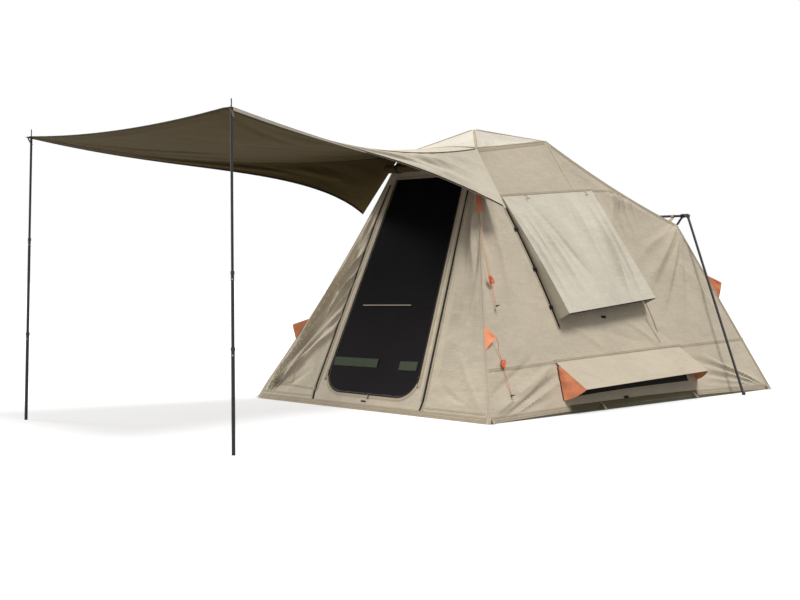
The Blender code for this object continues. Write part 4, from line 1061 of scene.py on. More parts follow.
def side_surface(side):
    """The side wall's outer face at a setback and a height."""

    def surface(setback, z):
        front = side_front_edge(z)
        rear = side_rear_edge(z)
        cabin = cabin_length + (rear_shoulder_setback - cabin_length) * z / rear_shoulder_height
        f = np.clip((setback - cabin) / np.maximum(rear - cabin, 0.05), 0, 1)
        v = np.clip(z / (rear_shoulder_height - slope_fall * f), 0, 1)
        diagonal = f - 0.35 - 0.45 * v
        ridge = 0.022 * np.exp(-((diagonal / 0.16) ** 2))
        valley = 0.014 * np.exp(-(((diagonal + 0.3) / 0.16) ** 2))
        big = half_wave(f) * half_wave(free_part(v)) ** 0.7 * (ridge - valley - 0.014)
        fine = ripple(setback, z, 1.3, 0.16) * 0.0022 + ripple(setback, z, 4.1, 0.07) * 0.0009
        fine = folded(fine, setback, z, side_folds, side_pleats)
        edges = smooth(setback - front, 0.0, 0.07) * smooth(rear - setback, 0.0, 0.07)
        edges = edges * smooth(z, 0.02, 0.11) * smooth(side_top(setback) - z, 0.0, 0.07)
        fine = fine * edges * windows[side].clear(setback, z) * vents[side].clear(setback, z)
        off_rope = np.abs(setback - (rope_line_foot + rope_line_lean * z))
        off_rope = off_rope + 4 * np.maximum(z - rope_line_high, 0)
        off_rope = off_rope + 4 * np.maximum(rope_line_low - z, 0)
        lift = big + np.minimum(fine, 0.0012 + 0.05 * smooth(off_rope, 0.03, 0.13))
        points = side_plane(side, setback, z, np.maximum(lift, deepest(z)))
        lap = smooth(1 - (setback - front) / np.maximum((cabin - front) * 0.16, 0.02), 0, 1)
        return points + times(seam_draw(z) * lap, unit((-side, 1, 0)))

    return surface


def door_half_low(share):
    """Half the doorway's width, a share of the way up, with square corners."""
    return door_half_width_low + (door_half_width_high - door_half_width_low) * share


def door_half(height):
    """Half the doorway's width at a height up the slope, with its rounded lower corners."""
    low, high = door_low, door_high
    off = np.clip(low + door_corner_radius - height, 0, door_corner_radius)
    round_off = np.sqrt(np.maximum(door_corner_radius**2 - off**2, 0))
    return door_half_low((height - low) / (high - low)) - door_corner_radius + round_off


doorway_zip = (
    (0.596, 0.040), (0.604, 0.11), (0.592, 0.26), (0.552, 0.70), (0.503, 1.22), (0.452, 1.76),
)
tall = 1 / front_up[2]
door_low = door_bottom * tall
door_high = door_top * tall

front_folds = (
    *fan((-1.24, 0.03), 1.50, 42, 66, 7, 0.022, 0.026),
    ((-1.20, 0.06), (-0.66, 0.52), 0.026, 0.020),
    ((-1.12, 0.03), (-0.70, 0.30), 0.020, -0.014),
    ((-0.86, 0.90), (-0.56, 1.86), 0.026, -0.020),
    ((-0.74, 0.70), (-0.60, 1.40), 0.020, 0.018),
    ((-0.66, 1.30), (-0.48, 2.00), 0.022, 0.018),
    ((0.56, 1.98), (0.72, 0.84), 0.034, 0.024),
    ((0.66, 1.80), (0.84, 0.72), 0.026, -0.020),
    ((0.70, 1.60), (0.94, 0.60), 0.028, 0.018),
    ((0.62, 1.10), (0.70, 0.30), 0.030, 0.010),
    ((1.22, 0.04), (0.78, 0.56), 0.024, 0.012),
    ((1.18, 0.03), (0.74, 0.24), 0.020, -0.010),
)


front_pleats = (
    ((-1.50, -0.40), 49, 70, 8, 0.040, 0.40, 2.75),
    ((0.40, 2.75), 270, 300, 5, 0.036, 0.60, 2.20),
)


def front_surface(x, height):
    """The front wall's outer face at a distance across and a distance up the slope."""
    z = height * front_up[2]
    across = front_width(z)
    share = np.clip(np.abs(x) / across, 0, 1)
    door = door_half_low(np.minimum(1, z / door_top))
    start = door / across + 0.13
    f = np.clip((share - start) / np.maximum(1 - start, 0.02), 0, 1)
    wave = np.sin(3 * math.pi * f) * half_wave(f) ** 0.4
    big = 0.012 * wave * half_wave(free_part(z / front_shoulder_height, 0.86)) ** 0.6
    fine = folded(ripple(x, height, 2.2, 0.14) * 0.0022, x, height, front_folds, front_pleats)
    edges = smooth(1 - share, 0.0, 0.07) * smooth(z, 0.03, 0.12)
    edges = edges * smooth(front_slack_top - z, 0.0, 0.14) * smooth(np.abs(x) - door, 0.03, 0.13)
    zip_low, zip_high = doorway_zip[1], doorway_zip[-1]
    zip_place = zip_low[0] - (zip_low[0] - zip_high[0]) * z / zip_high[1]
    edges = edges * (1 - 0.85 * np.exp(-(((np.abs(x) - zip_place) / 0.040) ** 2)))
    lift = np.maximum(big + fine * edges, deepest(z))
    lap = smooth((share - 0.70) / 0.30, 0, 1) * seam_draw(z) / math.sqrt(2)
    inward = np.stack([-np.where(x > 0, 1.0, -1.0) * lap, lap, lap * 0], -1)
    return on_slope(x, height, front_up) + times(lift, front_out) + inward


rear_folds = (
    ((1.16, 0.05), (0.30, 0.90), 0.050, 0.014),
    ((-1.16, 0.05), (-0.30, 0.90), 0.050, 0.014),
    ((0.62, 1.50), (0.80, 0.40), 0.040, -0.012),
    ((-0.62, 1.50), (-0.80, 0.40), 0.040, -0.012),
    ((0.10, 1.50), (0.16, 0.30), 0.045, 0.008),
    ((-0.36, 1.48), (-0.28, 0.50), 0.035, 0.007),
)


def rear_surface(x, height):
    """The rear wall's outer face at a distance across and a distance up the slope."""
    z = height * rear_up[2]
    share = x / front_width(z)
    slack = half_wave(free_part(z / rear_eave_height))
    lift = -0.03 * np.cos(math.pi / 2 * np.clip(share, -1, 1)) * slack
    fine = folded(ripple(x, height, 5.5, 0.16) * 0.003, x, height, rear_folds)
    edges = smooth(1 - np.abs(share), 0, 0.12) * smooth(z, 0.07, 0.18)
    edges = edges * smooth(rear_eave_height - z, 0, 0.12)
    lift = np.maximum(lift + fine * edges, deepest(z))
    return on_slope(x, height, rear_up, floor_length) + times(lift, rear_out)


def hip_point(side, f):
    """A point on the edge between the side wall and the rear roof, 0 at the shoulder."""
    z = rear_shoulder_height - slope_fall * f
    point = at(side * front_width(z), rear_shoulder_setback + slope_run * f, z)
    return point - times(rear_hip_sag * arch(f), side_up[side])


slope_folds = (
    *fan((0.98, 0.98), 1.0, 190, 235, 4, 0.045, 0.016),
    *fan((-0.98, 0.98), 1.0, -55, -10, 4, 0.045, 0.016),
    ((-0.90, 0.10), (-0.10, 0.55), 0.06, 0.014),
    ((0.90, 0.10), (0.10, 0.60), 0.06, 0.015),
    ((0.30, 0.02), (0.36, 0.80), 0.04, -0.010),
)


def slope_surface(across, f):
    """The rear roof, from -1 to 1 across and 0 to 1 down."""
    points = between(hip_point(-1, f), hip_point(1, f), (across + 1) / 2)
    lift = -0.025 * np.cos(math.pi / 2 * across) * half_wave(f)
    fine = folded(ripple(across * 0.7, f * 1.6, 7.1, 0.15) * 0.002, across, f, slope_folds)
    edges = smooth(1 - np.abs(across), 0, 0.15) * smooth(f, 0, 0.08) * smooth(1 - f, 0, 0.08)
    return points + times(lift + fine * edges, slope_out)


def front_shoulder(p):
    return at(front_shoulder_half_width * p, front_shoulder_setback, front_shoulder_height)


def rear_shoulder(p):
    return at(front_width(rear_shoulder_height) * p, rear_shoulder_setback, rear_shoulder_height)


def roof_edge(p, where):
    """A point of the roof top's rim, where p goes from -1 to 1 along that side."""
    if where == "front":
        return front_shoulder(p) + times(front_edge_rise * (1 - p * p), front_up)
    if where == "rear":
        return rear_shoulder(p)
    side = 1 if where == "right" else -1
    return between(front_shoulder(side), rear_shoulder(side), (p + 1) / 2)


roof_folds = (
    ((0.98, -0.70), (0.46, -0.24), 0.045, 0.012),
    ((0.98, -0.30), (0.50, -0.06), 0.040, -0.009),
    ((0.98, 0.10), (0.48, 0.02), 0.045, 0.012),
    ((0.98, 0.52), (0.46, 0.16), 0.040, -0.010),
    ((0.98, 0.80), (0.44, 0.30), 0.045, 0.012),
    ((-0.40, -0.96), (-0.12, -0.40), 0.045, 0.007),
    ((0.44, -0.96), (0.16, -0.40), 0.045, 0.007),
    ((-0.98, 0.30), (-0.46, 0.12), 0.045, 0.010),
    ((-0.98, -0.40), (-0.46, -0.14), 0.045, -0.009),
    ((0.30, 0.96), (0.12, 0.40), 0.045, 0.009),
    ((-0.36, 0.96), (-0.14, 0.40), 0.045, -0.009),
)


def roof_surface(a, b):
    """The roof top: straight over its four rafters, hollow between; a runs across and b back."""
    far = np.maximum(np.abs(a), np.abs(b))
    safe = np.maximum(far, 1e-6)
    p_along = np.clip(a / safe, -1, 1)
    p_across = np.clip(b / safe, -1, 1)
    flank = np.abs(b) >= np.abs(a)
    rim = np.where(
        flank[..., None],
        np.where((b < 0)[..., None], roof_edge(p_along, "front"), roof_edge(p_along, "rear")),
        np.where((a > 0)[..., None], roof_edge(p_across, "right"), roof_edge(p_across, "left")),
    )
    points = between(at(0, peak_setback, peak_height), rim, far)
    p = np.where(flank, p_along, p_across)
    fine = folded(ripple(a * 0.6, b * 0.6, 3.3, 0.12) * 0.0020, a, b, roof_folds)
    points[..., 2] -= roof_flank_sag * (1 - p * p) * arch(far)
    points[..., 2] += fine * smooth(1 - far, 0, 0.1)
    return points


def softened(grid, rounds):
    """Rounds the ridges of a grid and leaves its rim."""
    grid = grid.copy()
    for _ in range(rounds):
        inner = (grid[:-2, 1:-1] + grid[2:, 1:-1] + grid[1:-1, :-2] + grid[1:-1, 2:]) / 4
        grid[1:-1, 1:-1] = (grid[1:-1, 1:-1] + inner) / 2
    return grid


both_faces = [canvas, canvas_inside_painted_shade]
roof_faces = [canvas_roof_painted_light, canvas_inside_painted_shade]


def square(across, down):
    """A grid from -1 to 1 across and another from 0 to 1 down."""
    return np.meshgrid(np.linspace(-1, 1, across), np.linspace(0, 1, down))


def make_side_wall(side, word):
    u = np.concatenate([np.linspace(0, 1, 176), np.linspace(1, 2, 111)[1:]])
    v = np.linspace(0, 1, 166)[:, None]
    hem = np.where(u <= 1, cabin_length * u, cabin_length + (floor_length - cabin_length) * (u - 1))
    hem_z = side_hem_lift * arch(hem / floor_length)
    along = np.minimum(u, 1)
    f = np.clip(u - 1, 0, 1)
    top = front_shoulder_setback + (rear_shoulder_setback - front_shoulder_setback) * along
    top = top + slope_run * f
    top_z = front_shoulder_height + (rear_shoulder_height - front_shoulder_height) * along
    top_z = top_z - slope_fall * f - rear_hip_sag * side_up[1][2] * arch(f)
    openings = [hood[side].net_corners() for hood in (windows, vents)]
    setback, z, keep = open_up(hem + (top - hem) * v, hem_z + (top_z - hem_z) * v, openings)
    grid = side_surface(side)(setback, z)
    panel(
        "side_wall_" + word, "wall_" + word, grid, both_faces, side_out[side], "stretched",
        ["roof_top", "floor"], keep=keep,
    )


def door_outline():
    turn = np.linspace(0, math.pi / 2, 12)
    heights = [*(door_low + door_corner_radius * (1 - np.cos(turn))), door_high]
    right = [(float(door_half(h)), float(h)) for h in heights]
    return right + [(-x, h) for x, h in reversed(right)]


def make_front_wall():
    u, v = square(261, 190)
    x = half_width * u + (front_shoulder_half_width - half_width) * u * v
    height = (front_shoulder_height * tall + front_edge_rise * (1 - u * u)) * v
    x, height, keep = open_up(x, height, [door_outline()])
    grid = front_surface(x, height)
    rests = ["roof_top", "floor"]
    panel("front_wall", "wall_front", grid, both_faces, front_out, "stretched", rests, keep=keep)


def make_rear_wall():
    u, v = square(121, 81)
    x = half_width * u + (front_width(rear_eave_height) - half_width) * u * v
    grid = rear_surface(x, rear_eave_height / rear_up[2] * v)
    panel("back_wall", "wall_rear", grid, both_faces, rear_out, "stretched", ["floor"])


def make_roofs():
    grid = slope_surface(*square(101, 101))
    rests = ["rear_crossbar"]
    panel("rear_roof", "roof_rear", grid, roof_faces, slope_out, "stretched", rests)
    rows = np.linspace(-1, 1, 97)
    grid = softened(roof_surface(*np.meshgrid(rows, rows)), 6)
    panel("top_roof", "roof_top", grid, roof_faces, up, "stretched", ["frame_hub"])


def make_floor():
    """The floor sheet with its turned-up edge."""
    clear = (canvas_thickness + 0.0016) * 1.1
    place = np.concatenate([[-1.0], np.linspace(-1, 1, 61), [1.0]])
    level = np.concatenate([[1.0], np.zeros(61), [1.0]])
    across, along = np.meshgrid(place, place)
    raised = np.maximum(*np.meshgrid(level, level)) * floor_upstand
    z = np.where(raised > 0, raised, 0.0022)
    front_in = clear + side_front_edge(z)
    rear_in = clear + z * (floor_length - rear_eave_setback) / rear_eave_height
    setback = front_in + (along + 1) / 2 * (floor_length - rear_in - front_in)
    grid = at(across * (front_width(z) - clear), setback, z)
    panel("floor_sheet", "floor", grid, [floor_cloth], up, "laid", ["side_wall_right"])


for side, word in sides:
    make_side_wall(side, word)
make_front_wall()
make_rear_wall()
make_roofs()
make_floor()


# Awning


def awning_line(side, t, kind):
    """Points of the awning's crease or of its wing's edge, t of the way from pole to tent."""
    front = at(side * pole_top_half_width, -(pole_top_reach + awning_margin), awning_height)
    margin = side * awning_margin * east
    if kind == "crease":
        end = front_shoulder(side) + (front_out + side_out[side]) * 0.0015 + up * 0.0012
        return between(front - margin, end, t) - times(awning_crease_sag * arch(t), up)
    end = at(side * awning_tip[0], awning_tip[1], awning_tip[2])
    shape = t**2.5 * (1 - t) / awning_edge_peak
    drawn = np.stack([-side * awning_edge_in * shape, t * 0, awning_edge_up * shape], -1)
    return between(front + margin, end, t) + drawn


def awning_surface(t, w):
    """The awning's upper face: w is -2 and 2 at its wings' edges and -1 and 1 on its creases."""
    left, right = awning_line(-1, t, "crease"), awning_line(1, t, "crease")
    far = t * awning_run
    across = np.clip(1 - w * w, 0, 1)
    hem = -awning_hem_sag * (1 - t) + front_edge_rise * front_up[2] * t
    belly = (awning_crease_sag - awning_centre_sag) * arch(t)
    pulled = front_up[1] * front_edge_rise * t * t * across
    wrinkle = ripple(far, w, 6.2, 0.13) * 0.0025 * half_wave(np.clip(t, 0, 1))
    wrinkle = folded(wrinkle, far, w * awning_fold_width, awning_folds)
    wrinkle = wrinkle * smooth(1 - np.abs(w), 0.0, 0.16)
    wrinkle = wrinkle * smooth(t, 0, 0.04) * smooth(1 - t, 0, 0.08)
    points = between(left, right, (w + 1) / 2)
    points = points + np.stack([t * 0, pulled, across * (hem + belly) + wrinkle], -1)
    for side, line in ((1, right), (-1, left)):
        f = np.clip(side * w - 1, 0, 1)
        wing = between(line, awning_line(side, t, "edge"), f)
        fine = folded(0, far, f * awning_wing_depth, wing_folds, wing_pleats)
        fine = fine * half_wave(np.clip(t, 0, 1)) ** 0.5 * half_wave(f) ** 0.5
        wave = np.sin(3 * math.pi * f) * half_wave(f) * half_wave(t) * t * 0.02
        wing = wing + times(wave + fine, unit((side, 0, 0.6)))
        points = np.where((side * w > 1)[..., None], wing, points)
    return points


awning_folds = (
    ((0.05, 1.12), (1.30, 0.50), 0.030, 0.016),
    ((0.05, 1.14), (1.70, 0.86), 0.024, 0.014),
    ((0.05, 1.05), (0.90, 0.16), 0.028, -0.010),
    ((0.05, -1.12), (1.30, -0.50), 0.030, 0.016),
    ((0.05, -1.14), (1.70, -0.86), 0.024, 0.014),
    ((2.85, 0.90), (1.70, 0.40), 0.030, 0.014),
    ((2.85, -0.90), (1.70, -0.40), 0.030, 0.014),
    ((0.20, 0.20), (2.60, 0.10), 0.045, 0.008),
    ((0.10, 0.90), (0.14, -0.90), 0.030, -0.008),
)
wing_folds = (
    ((1.20, 0.04), (2.74, 0.56), 0.026, 0.022),
    ((1.60, 0.05), (2.80, 0.46), 0.020, -0.016),
    ((1.90, 0.02), (2.86, 0.38), 0.022, 0.018),
    ((0.60, 0.03), (2.30, 0.36), 0.022, 0.012),
    ((2.20, 0.02), (2.88, 0.26), 0.018, -0.012),
    ((2.40, 0.02), (2.90, 0.18), 0.018, 0.014),
    ((2.10, 0.60), (2.70, 0.20), 0.030, 0.010),
)
wing_pleats = (((2.96, 0.66), 184, 232, 7, 0.018, 0.10, 1.50),)


def make_awning():
    t = np.concatenate([[0, 0.004], np.linspace(0, 1, 150)[1:]])
    wing = np.linspace(1, 2, 36)[1:]
    w = np.concatenate([np.linspace(-2, -1, 36), np.linspace(-1, 1, 91)[1:], wing])
    grid = awning_surface(*np.meshgrid(t, w, indexing="ij"))
    grid = np.concatenate([grid[:, :1], softened(grid, 3)[:, 1:-1], grid[:, -1:]], 1)
    rests = ["pole_upper_left", "pole_upper_right"]
    # The awning's underside takes the painted shade colour.
    panel("awning_sheet", "awning", grid, [awning_top, awning_under_painted_shade], up, "stretched", rests)
    return grid


awning_grid = make_awning()


# Hoods over the windows and the floor vents


def flap_lift(hood, f, v):
    """How far a flap's cloth stands off its plane: broad waves, with folds over them."""
    wave = 1 + 0.6 * np.cos(6 * math.pi * (f - 0.25 * v))
    x, y = f * hood.length, v * hood.drop
    fine = folded(ripple(x, y, 9.2, 0.10) * 0.0012, x, y, hood.folds, hood.ridges)
    fine = fine * half_wave(v) ** 0.4 * half_wave(f) ** 0.4
    return np.maximum(hood.wave * half_wave(v) * half_wave(f) * wave + fine, 0.0)


def make_flap(hood, look):
    f, v = np.meshgrid(np.linspace(0, 1, 181), np.linspace(0, 1, hood.rows))
    grid = hood.flap_points(f, v, 0.002 + flap_lift(hood, f, v))
    node = f"{hood.kind}_flap_{hood.word}"
    name = f"{hood.kind}_awning_{hood.word}"
    rests = ["side_wall_" + hood.word]
    panel(name, node, grid, [look, canvas_inside_painted_shade], hood.out, "hung", rests, body=node)


def make_flap_painted_shade(hood):
    """A dark strip below a flap's lower edge: painted shade of the flap's underside."""
    f, v = np.meshgrid(np.linspace(0.01, 0.99, 60), np.linspace(0.985, 1.009, 4))
    grid = hood.flap_points(f, v, -0.0002)
    name, body = "window_hem_" + hood.word, "window_flap_" + hood.word
    cloth(name, grid, 0.0012, [dark_tape], hood.out, body=body)


def make_cheek(hood, end, where, wall_drop, flare, look):
    """A hood's cheek, which is squashed on to the wall as the flap closes."""
    outward = -1 if end == 0 else 1
    rows = np.linspace(gusset_start, hood.drop, 31)
    flap_side, f = np.meshgrid(rows, np.linspace(0, 1, 15), indexing="ij")
    share = (flap_side - gusset_start) / (hood.drop - gusset_start)
    wall_side = gusset_start + (wall_drop - gusset_start) * share
    low_angle = -np.arcsin((flap_standoff - 0.0003) / wall_side)
    distance = wall_side + (flap_side - wall_side) * f
    angle = low_angle + (hood.opened - low_angle) * f
    slack = half_wave(f) * half_wave(share) * 0.008
    tuck = half_wave(f) * np.sin(5 * math.pi * share) * 0.003
    s = hood.edge(end, distance) + outward * (0.0006 + flare * (1 - f) * share + slack + tuck)
    grid = hood.point(s, distance, angle, 0.002 * (f > 0.99))
    made = panel(
        f"{hood.kind}_cheek_{where}_{hood.word}", f"{hood.kind}_gusset_{where}_{hood.word}", grid,
        [look], hood.along * outward, "hung", [f"{hood.kind}_flap_{hood.word}"], 0.0014,
    )
    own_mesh(made)


def make_netting(hood):
    """Netting in an opening of the side wall, drawn a little slack."""
    corners = [np.array(c) for c in hood.net_corners(0.0003)]
    f, v = np.meshgrid(np.linspace(0, 1, 41), np.linspace(0, 1, 31))
    spots = between(between(*corners[:2], f), between(*corners[:1:-1], f), v)
    sag = -0.0008 - 0.006 * half_wave(f) * half_wave(v)
    grid = side_plane(hood.side, spots[..., 0], spots[..., 1], sag)
    panel(
        f"{hood.kind}_net_{hood.word}", f"{hood.kind}_mesh_{hood.word}", grid, [netting], hood.out,
        "stretched", ["side_wall_" + hood.word], net_thickness,
    )


for side, word in sides:
    window, vent = windows[side], vents[side]
    make_netting(window)
    make_netting(vent)
    make_flap(window, canvas_flap)
    make_flap_painted_shade(window)
    make_flap(vent, canvas)
    for end, where in ends:
        make_cheek(window, end, where, window_drop, 0.0, canvas_flap)
        make_cheek(vent, end, where, vent_gusset_drop, vent_gusset_flare, orange_cloth)


# Doorway


def make_mesh_door():
    low, high = door_low + 0.0006, door_high - 0.0006
    foot = low + 0.25 * np.linspace(0, 1, 25) ** 1.6
    heights = np.concatenate([foot, np.linspace(low + 0.25, high, 46)[1:]])
    u, height = np.meshgrid(np.linspace(-1, 1, 61), heights)
    x = u * (door_half(height) - 0.0008)
    slack = np.cos(math.pi / 2 * u)
    sag = 0.010 * slack * half_wave((height - low) / (high - low))
    sag = np.abs(sag + ripple(x, height, 3.9, 0.12) * 0.002 * slack) + 0.0004
    grid = on_slope(x, height, front_up) - times(sag, front_out)
    panel(
        "door_net", "mesh_door", grid, [netting], front_out, "hung", ["front_wall"], net_thickness,
        body="mesh_door",
    )


roll_centre = on_slope(0, roll_height * tall, front_up) + front_out * roll_stand


def make_rolled_door():
    """The canvas door wound up on itself, with soft pinches at its ties and crumpled ends."""
    k = np.linspace(0, 1, 132)
    x = np.linspace(-roll_half_length, roll_half_length, 121)
    around, along = np.meshgrid(2 * math.pi * roll_turns * k, x, indexing="ij")
    radius = roll_core + (roll_radius - roll_core) * np.repeat(k[:, None], len(x), 1)
    tie_place = roll_half_length - tie_inset
    pinch = sum(np.exp(-(((along - side * tie_place) / 0.035) ** 2)) for side, _ in sides)
    uneven = 0.5 + 0.5 * ripple(along, around * 0.03, 2.7, 0.07)
    radius = radius * (1 - 0.10 * (1 - np.clip(pinch, 0, 1)) * uneven)
    grid = roll_centre + times(along, east)
    grid = grid + times(np.cos(around) * radius, front_out)
    grid = grid + times(np.sin(around) * radius, front_up)
    # The roll takes the dark underside colour: painted shade under the awning.
    panel(
        "door_roll", "rolled_door", grid, [awning_under_painted_shade] * 2, roll_centre, "folded",
        ["door_tie_left", "door_tie_right"], 0.0024, turned=True,
    )


make_mesh_door()
make_rolled_door()


# Ties, rear straps, reflectors and what is left of the soft CAD pieces


def make_ring(name, centre, inner, width, thickness, look):
    """A band round a line across the tent through a point."""
    one = unit(np.cross(east, (0.1, 0.3, 1)))
    other = np.cross(east, one)
    turn = np.linspace(0, 2 * math.pi, 49)
    around, over = np.meshgrid(turn, np.linspace(-1, 1, 5), indexing="ij")
    radius = inner + tie_clearance + thickness + 0.0003 * (1 - over**2)
    grid = centre + times(over * width / 2, east)
    grid = grid + times(np.cos(around) * radius, one) + times(np.sin(around) * radius, other)
    return cloth(name, grid, thickness, [look], centre, turned=True)


def make_door_ties():
    for side, word in sides:
        spot = roll_centre + side * (roll_half_length - tie_inset) * east
        ring = make_ring("roll_tie_" + word, spot, roll_radius, tie_width, 0.0015, dark_tape)
        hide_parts("door_tie_" + word)


def make_strap(kind, word, centre, inner, line, facing, widths, look):
    """A loop of webbing round the crossbar or its knuckle, with the tail that it holds."""
    loop, tail = f"{kind}_loop_{word}", f"{kind}_tail_{word}"
    ring = make_ring(loop, centre, inner, widths[0], web_thickness, look)
    strip = tape(tail, line, facing, np.linspace(*widths, 12), look, web_thickness)
    for made in (ring, strip):
        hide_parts(f"rear_{kind}_{word}")


def make_rear_ties():
    """A strap from each knuckle to the eave corner, and a web that hangs from the crossbar."""
    share = np.linspace(0, 1, 12)
    eave_half = front_width(rear_eave_height)
    for side, word in sides:
        joint = at(side * rear_joint[0], rear_joint[1], rear_joint[2])
        end = joint - side * strap_inset * east
        low = at(side * eave_half, rear_eave_setback, rear_eave_height)
        low = low + unit(slope_out + rear_out + side_out[side]) * 0.0008
        way = unit(end - low)
        facing = np.cross(way, unit(east - way * way[0]))
        line = between(low, end - way * (sleeve_radius + 0.0015), share)
        widths = (strap_width, strap_width)
        make_strap("strap", word, end, sleeve_radius, line, facing, widths, dark_tape)
        middle = joint - side * web_inset * east
        low = at(side * eave_half * web_foot, rear_eave_setback, rear_eave_height)
        low = low + unit(slope_out + rear_out) * 0.0009
        high = middle - up * (crossbar_radius + 0.0015)
        facing = np.cross(east, unit(low - high))
        line = between(high, low, share)
        make_strap("web", word, middle, crossbar_radius, line, facing, web_widths, beige_web)


def make_reflectors():
    """Three-cornered orange tabs with a folded middle, sewn into the corner seams."""
    v, f = np.meshgrid(np.linspace(0, 1, 31), np.linspace(0, 1, 31), indexing="ij")
    bulge = 0.004 * half_wave(f) * np.cos(2 * math.pi * (v - 0.5))
    bulge = bulge + 0.0015 * np.sin(9 * f + 4 * v) * half_wave(f)
    for end, normal in (("front", front_out), ("rear", rear_out)):
        for side, word in sides:
            low, high = reflector_line(end, side)
            way = reflector_way(end, side)
            stand = 0.0018 if abs(float(way @ side_out[side])) < 0.6 else 0.0012
            facing = unit(np.cross(high - low, way))
            seat = unit(normal + side_out[side]) * stand
            nose = reflector_tip(end, side) + times((v - 0.5) * 0.012, unit(high - low))
            grid = between(between(low, high, v), nose, f) + seat + times(bulge, facing)
            name, node = f"reflector_tab_{end}_{word}", f"reflector_{end}_{word}"
            rests = ["side_wall_" + word]
            panel(name, node, grid, [orange_cloth], facing, "hung", rests, 0.0012)


make_door_ties()
make_rear_ties()
make_reflectors()


# Seams, zips and bindings


def leg_spot(z):
    """A point of the side wall over the frame's rear leg, as its setback and height."""
    share = (z - leg_foot_height) / (rear_shoulder_height - leg_head_drop - leg_foot_height)
    return (cabin_length + (rear_shoulder_setback - cabin_length) * share, z)


side_lines = (
    ("seam_eave_front", ((0.68, 1.612), (0.915, 1.633)), 0.020, canvas_seam),
    ("seam_eave_rear", ((2.15, 1.733), (2.36, 1.738), (2.50, 1.722)), 0.020, canvas_seam),
    ("seam_eave_top", ((0.915, 1.641), (2.15, 1.741)), 0.016, canvas_seam),
    ("seam_skirt_front", ((0.165, 0.352), (0.905, 0.374)), 0.022, canvas_seam),
    ("seam_skirt_rear", ((2.63, 0.424), (3.60, 0.446)), 0.022, canvas_seam),
    ("seam_skirt_middle", ((0.905, 0.384), (2.63, 0.434)), 0.016, canvas_seam),
    ("seam_leg_top", (leg_spot(1.755), leg_spot(2.10)), 0.012, canvas),
    ("seam_leg_upper", (leg_spot(0.46), leg_spot(0.665)), 0.022, canvas_seam),
    ("hem_front", ((0.045, 0.024), (0.93, 0.042)), 0.040, canvas_hem),
    # The middle stretch of the hem is dark olive: painted shade under the vent hood.
    ("hem_middle", ((0.93, 0.042), (1.9, 0.050), (2.62, 0.046)), 0.040, olive_painted_shade),
    ("hem_rear", ((2.62, 0.046), (3.735, 0.026)), 0.040, canvas_hem),
)
head_binding = door_high + 0.014
corner_heights = np.linspace(0.05, 1.98, 40)
front_lines = (
    ("binding_doorway_head", ((-0.39, head_binding), (0.39, head_binding)), 0.026, canvas_seam),
    ("hem_front_wall", ((-1.25, 0.026), (1.25, 0.026)), 0.044, canvas_hem),
    ("seam_foot", ((-1.18, 0.150), (-0.64, 0.128)), 0.014, canvas_seam),
    ("skirt_seam_right", ((0.64, 0.070), (1.23, 0.070)), 0.012, canvas_seam),
    ("skirt_seam_left", ((-1.23, 0.070), (-0.64, 0.070)), 0.012, canvas_seam),
)
back_lines = (
    ("hem_back", ((-1.25, 0.026), (1.25, 0.026)), 0.044, canvas_hem),
    ("seam_back_skirt", ((-1.10, 0.470), (1.10, 0.470)), 0.022, canvas_seam),
    ("seam_back_middle", ((0, 0.49), (0, 1.54)), 0.022, canvas_seam),
)
patch_rim = (
    (-1.085, 0.235), (-1.088, 0.176), (-1.076, 0.168), (-0.930, 0.160), (-0.918, 0.168),
    (-0.912, 0.235),
)


def make_side_trim(side, word):
    surface = side_surface(side)
    window, vent = windows[side], vents[side]

    def strip(name, path, width, look=canvas_seam, slot="canvas", **more):
        ribbon(f"{name}_{word}", surface, path, width, look, slot, side_out[side], **more)

    for name, stops, width, look in side_lines:
        strip(name, path_points(stops), width, look)
    rear = window.path(1, np.linspace(0.04, 0.94, 28), window_seam_inset)
    strip("seam_window_rear", rounded_path(rear), 0.020)
    below = window.path(1, np.linspace(0.94, 1.30, 12), window_seam_inset)
    strip("seam_below_window", rounded_path(below), 0.010, lift=0.0030)
    # A dark band below the vent hood's edge: painted shade under the flap.
    shade_path = rounded_path([(1.02, 0.150), (1.70, 0.168), (2.55, 0.176)])
    strip("vent_painted_shade", shade_path, 0.060, dark_tape, "black_webbing")
    line = window.path(0, np.linspace(0.02, 1.10, 36), -window_zip_inset)
    strip("zip_window", rounded_path(line), 0.020, zipper)
    guard = window.path(0, np.linspace(0.02, 1.12, 36), -window_guard_inset)
    strip("zip_guard", rounded_path(guard), 0.016)
    for end, where in ends:
        outward = -1 if end == 0 else 1
        stops = []
        for f in np.linspace(0, 1, 12):
            down = gusset_start + (vent_gusset_drop - gusset_start) * float(f)
            stops += vent.path(end, (down,), outward * (0.005 + vent_gusset_flare * float(f)))
        strip("cheek_binding_" + where, rounded_path(stops), 0.010, dark_tape)
    front = [(side_front_edge(z) + corner_seam_inset, z) for z in corner_heights]
    strip("seam_front_corner", path_points(front), 0.014, canvas)
    heights = np.linspace(0.05, 1.43, 30)
    rear = np.stack([side_rear_edge(heights) - corner_seam_inset, heights], -1)
    strip("seam_rear_corner", path_points(rear), 0.020)
    hip = hip_point(side, np.linspace(0.03, 0.97, 24)) - side_up[side] * corner_seam_inset
    strip("seam_hip", path_points([(y + floor_length / 2, z) for _, y, z in hip]), 0.020)
    top = [(0.84 + 0.86 * f, 2.01 + 0.12 * f - edge_seam_inset) for f in np.linspace(0, 1, 12)]
    strip("seam_roof_side", path_points(top), 0.022)


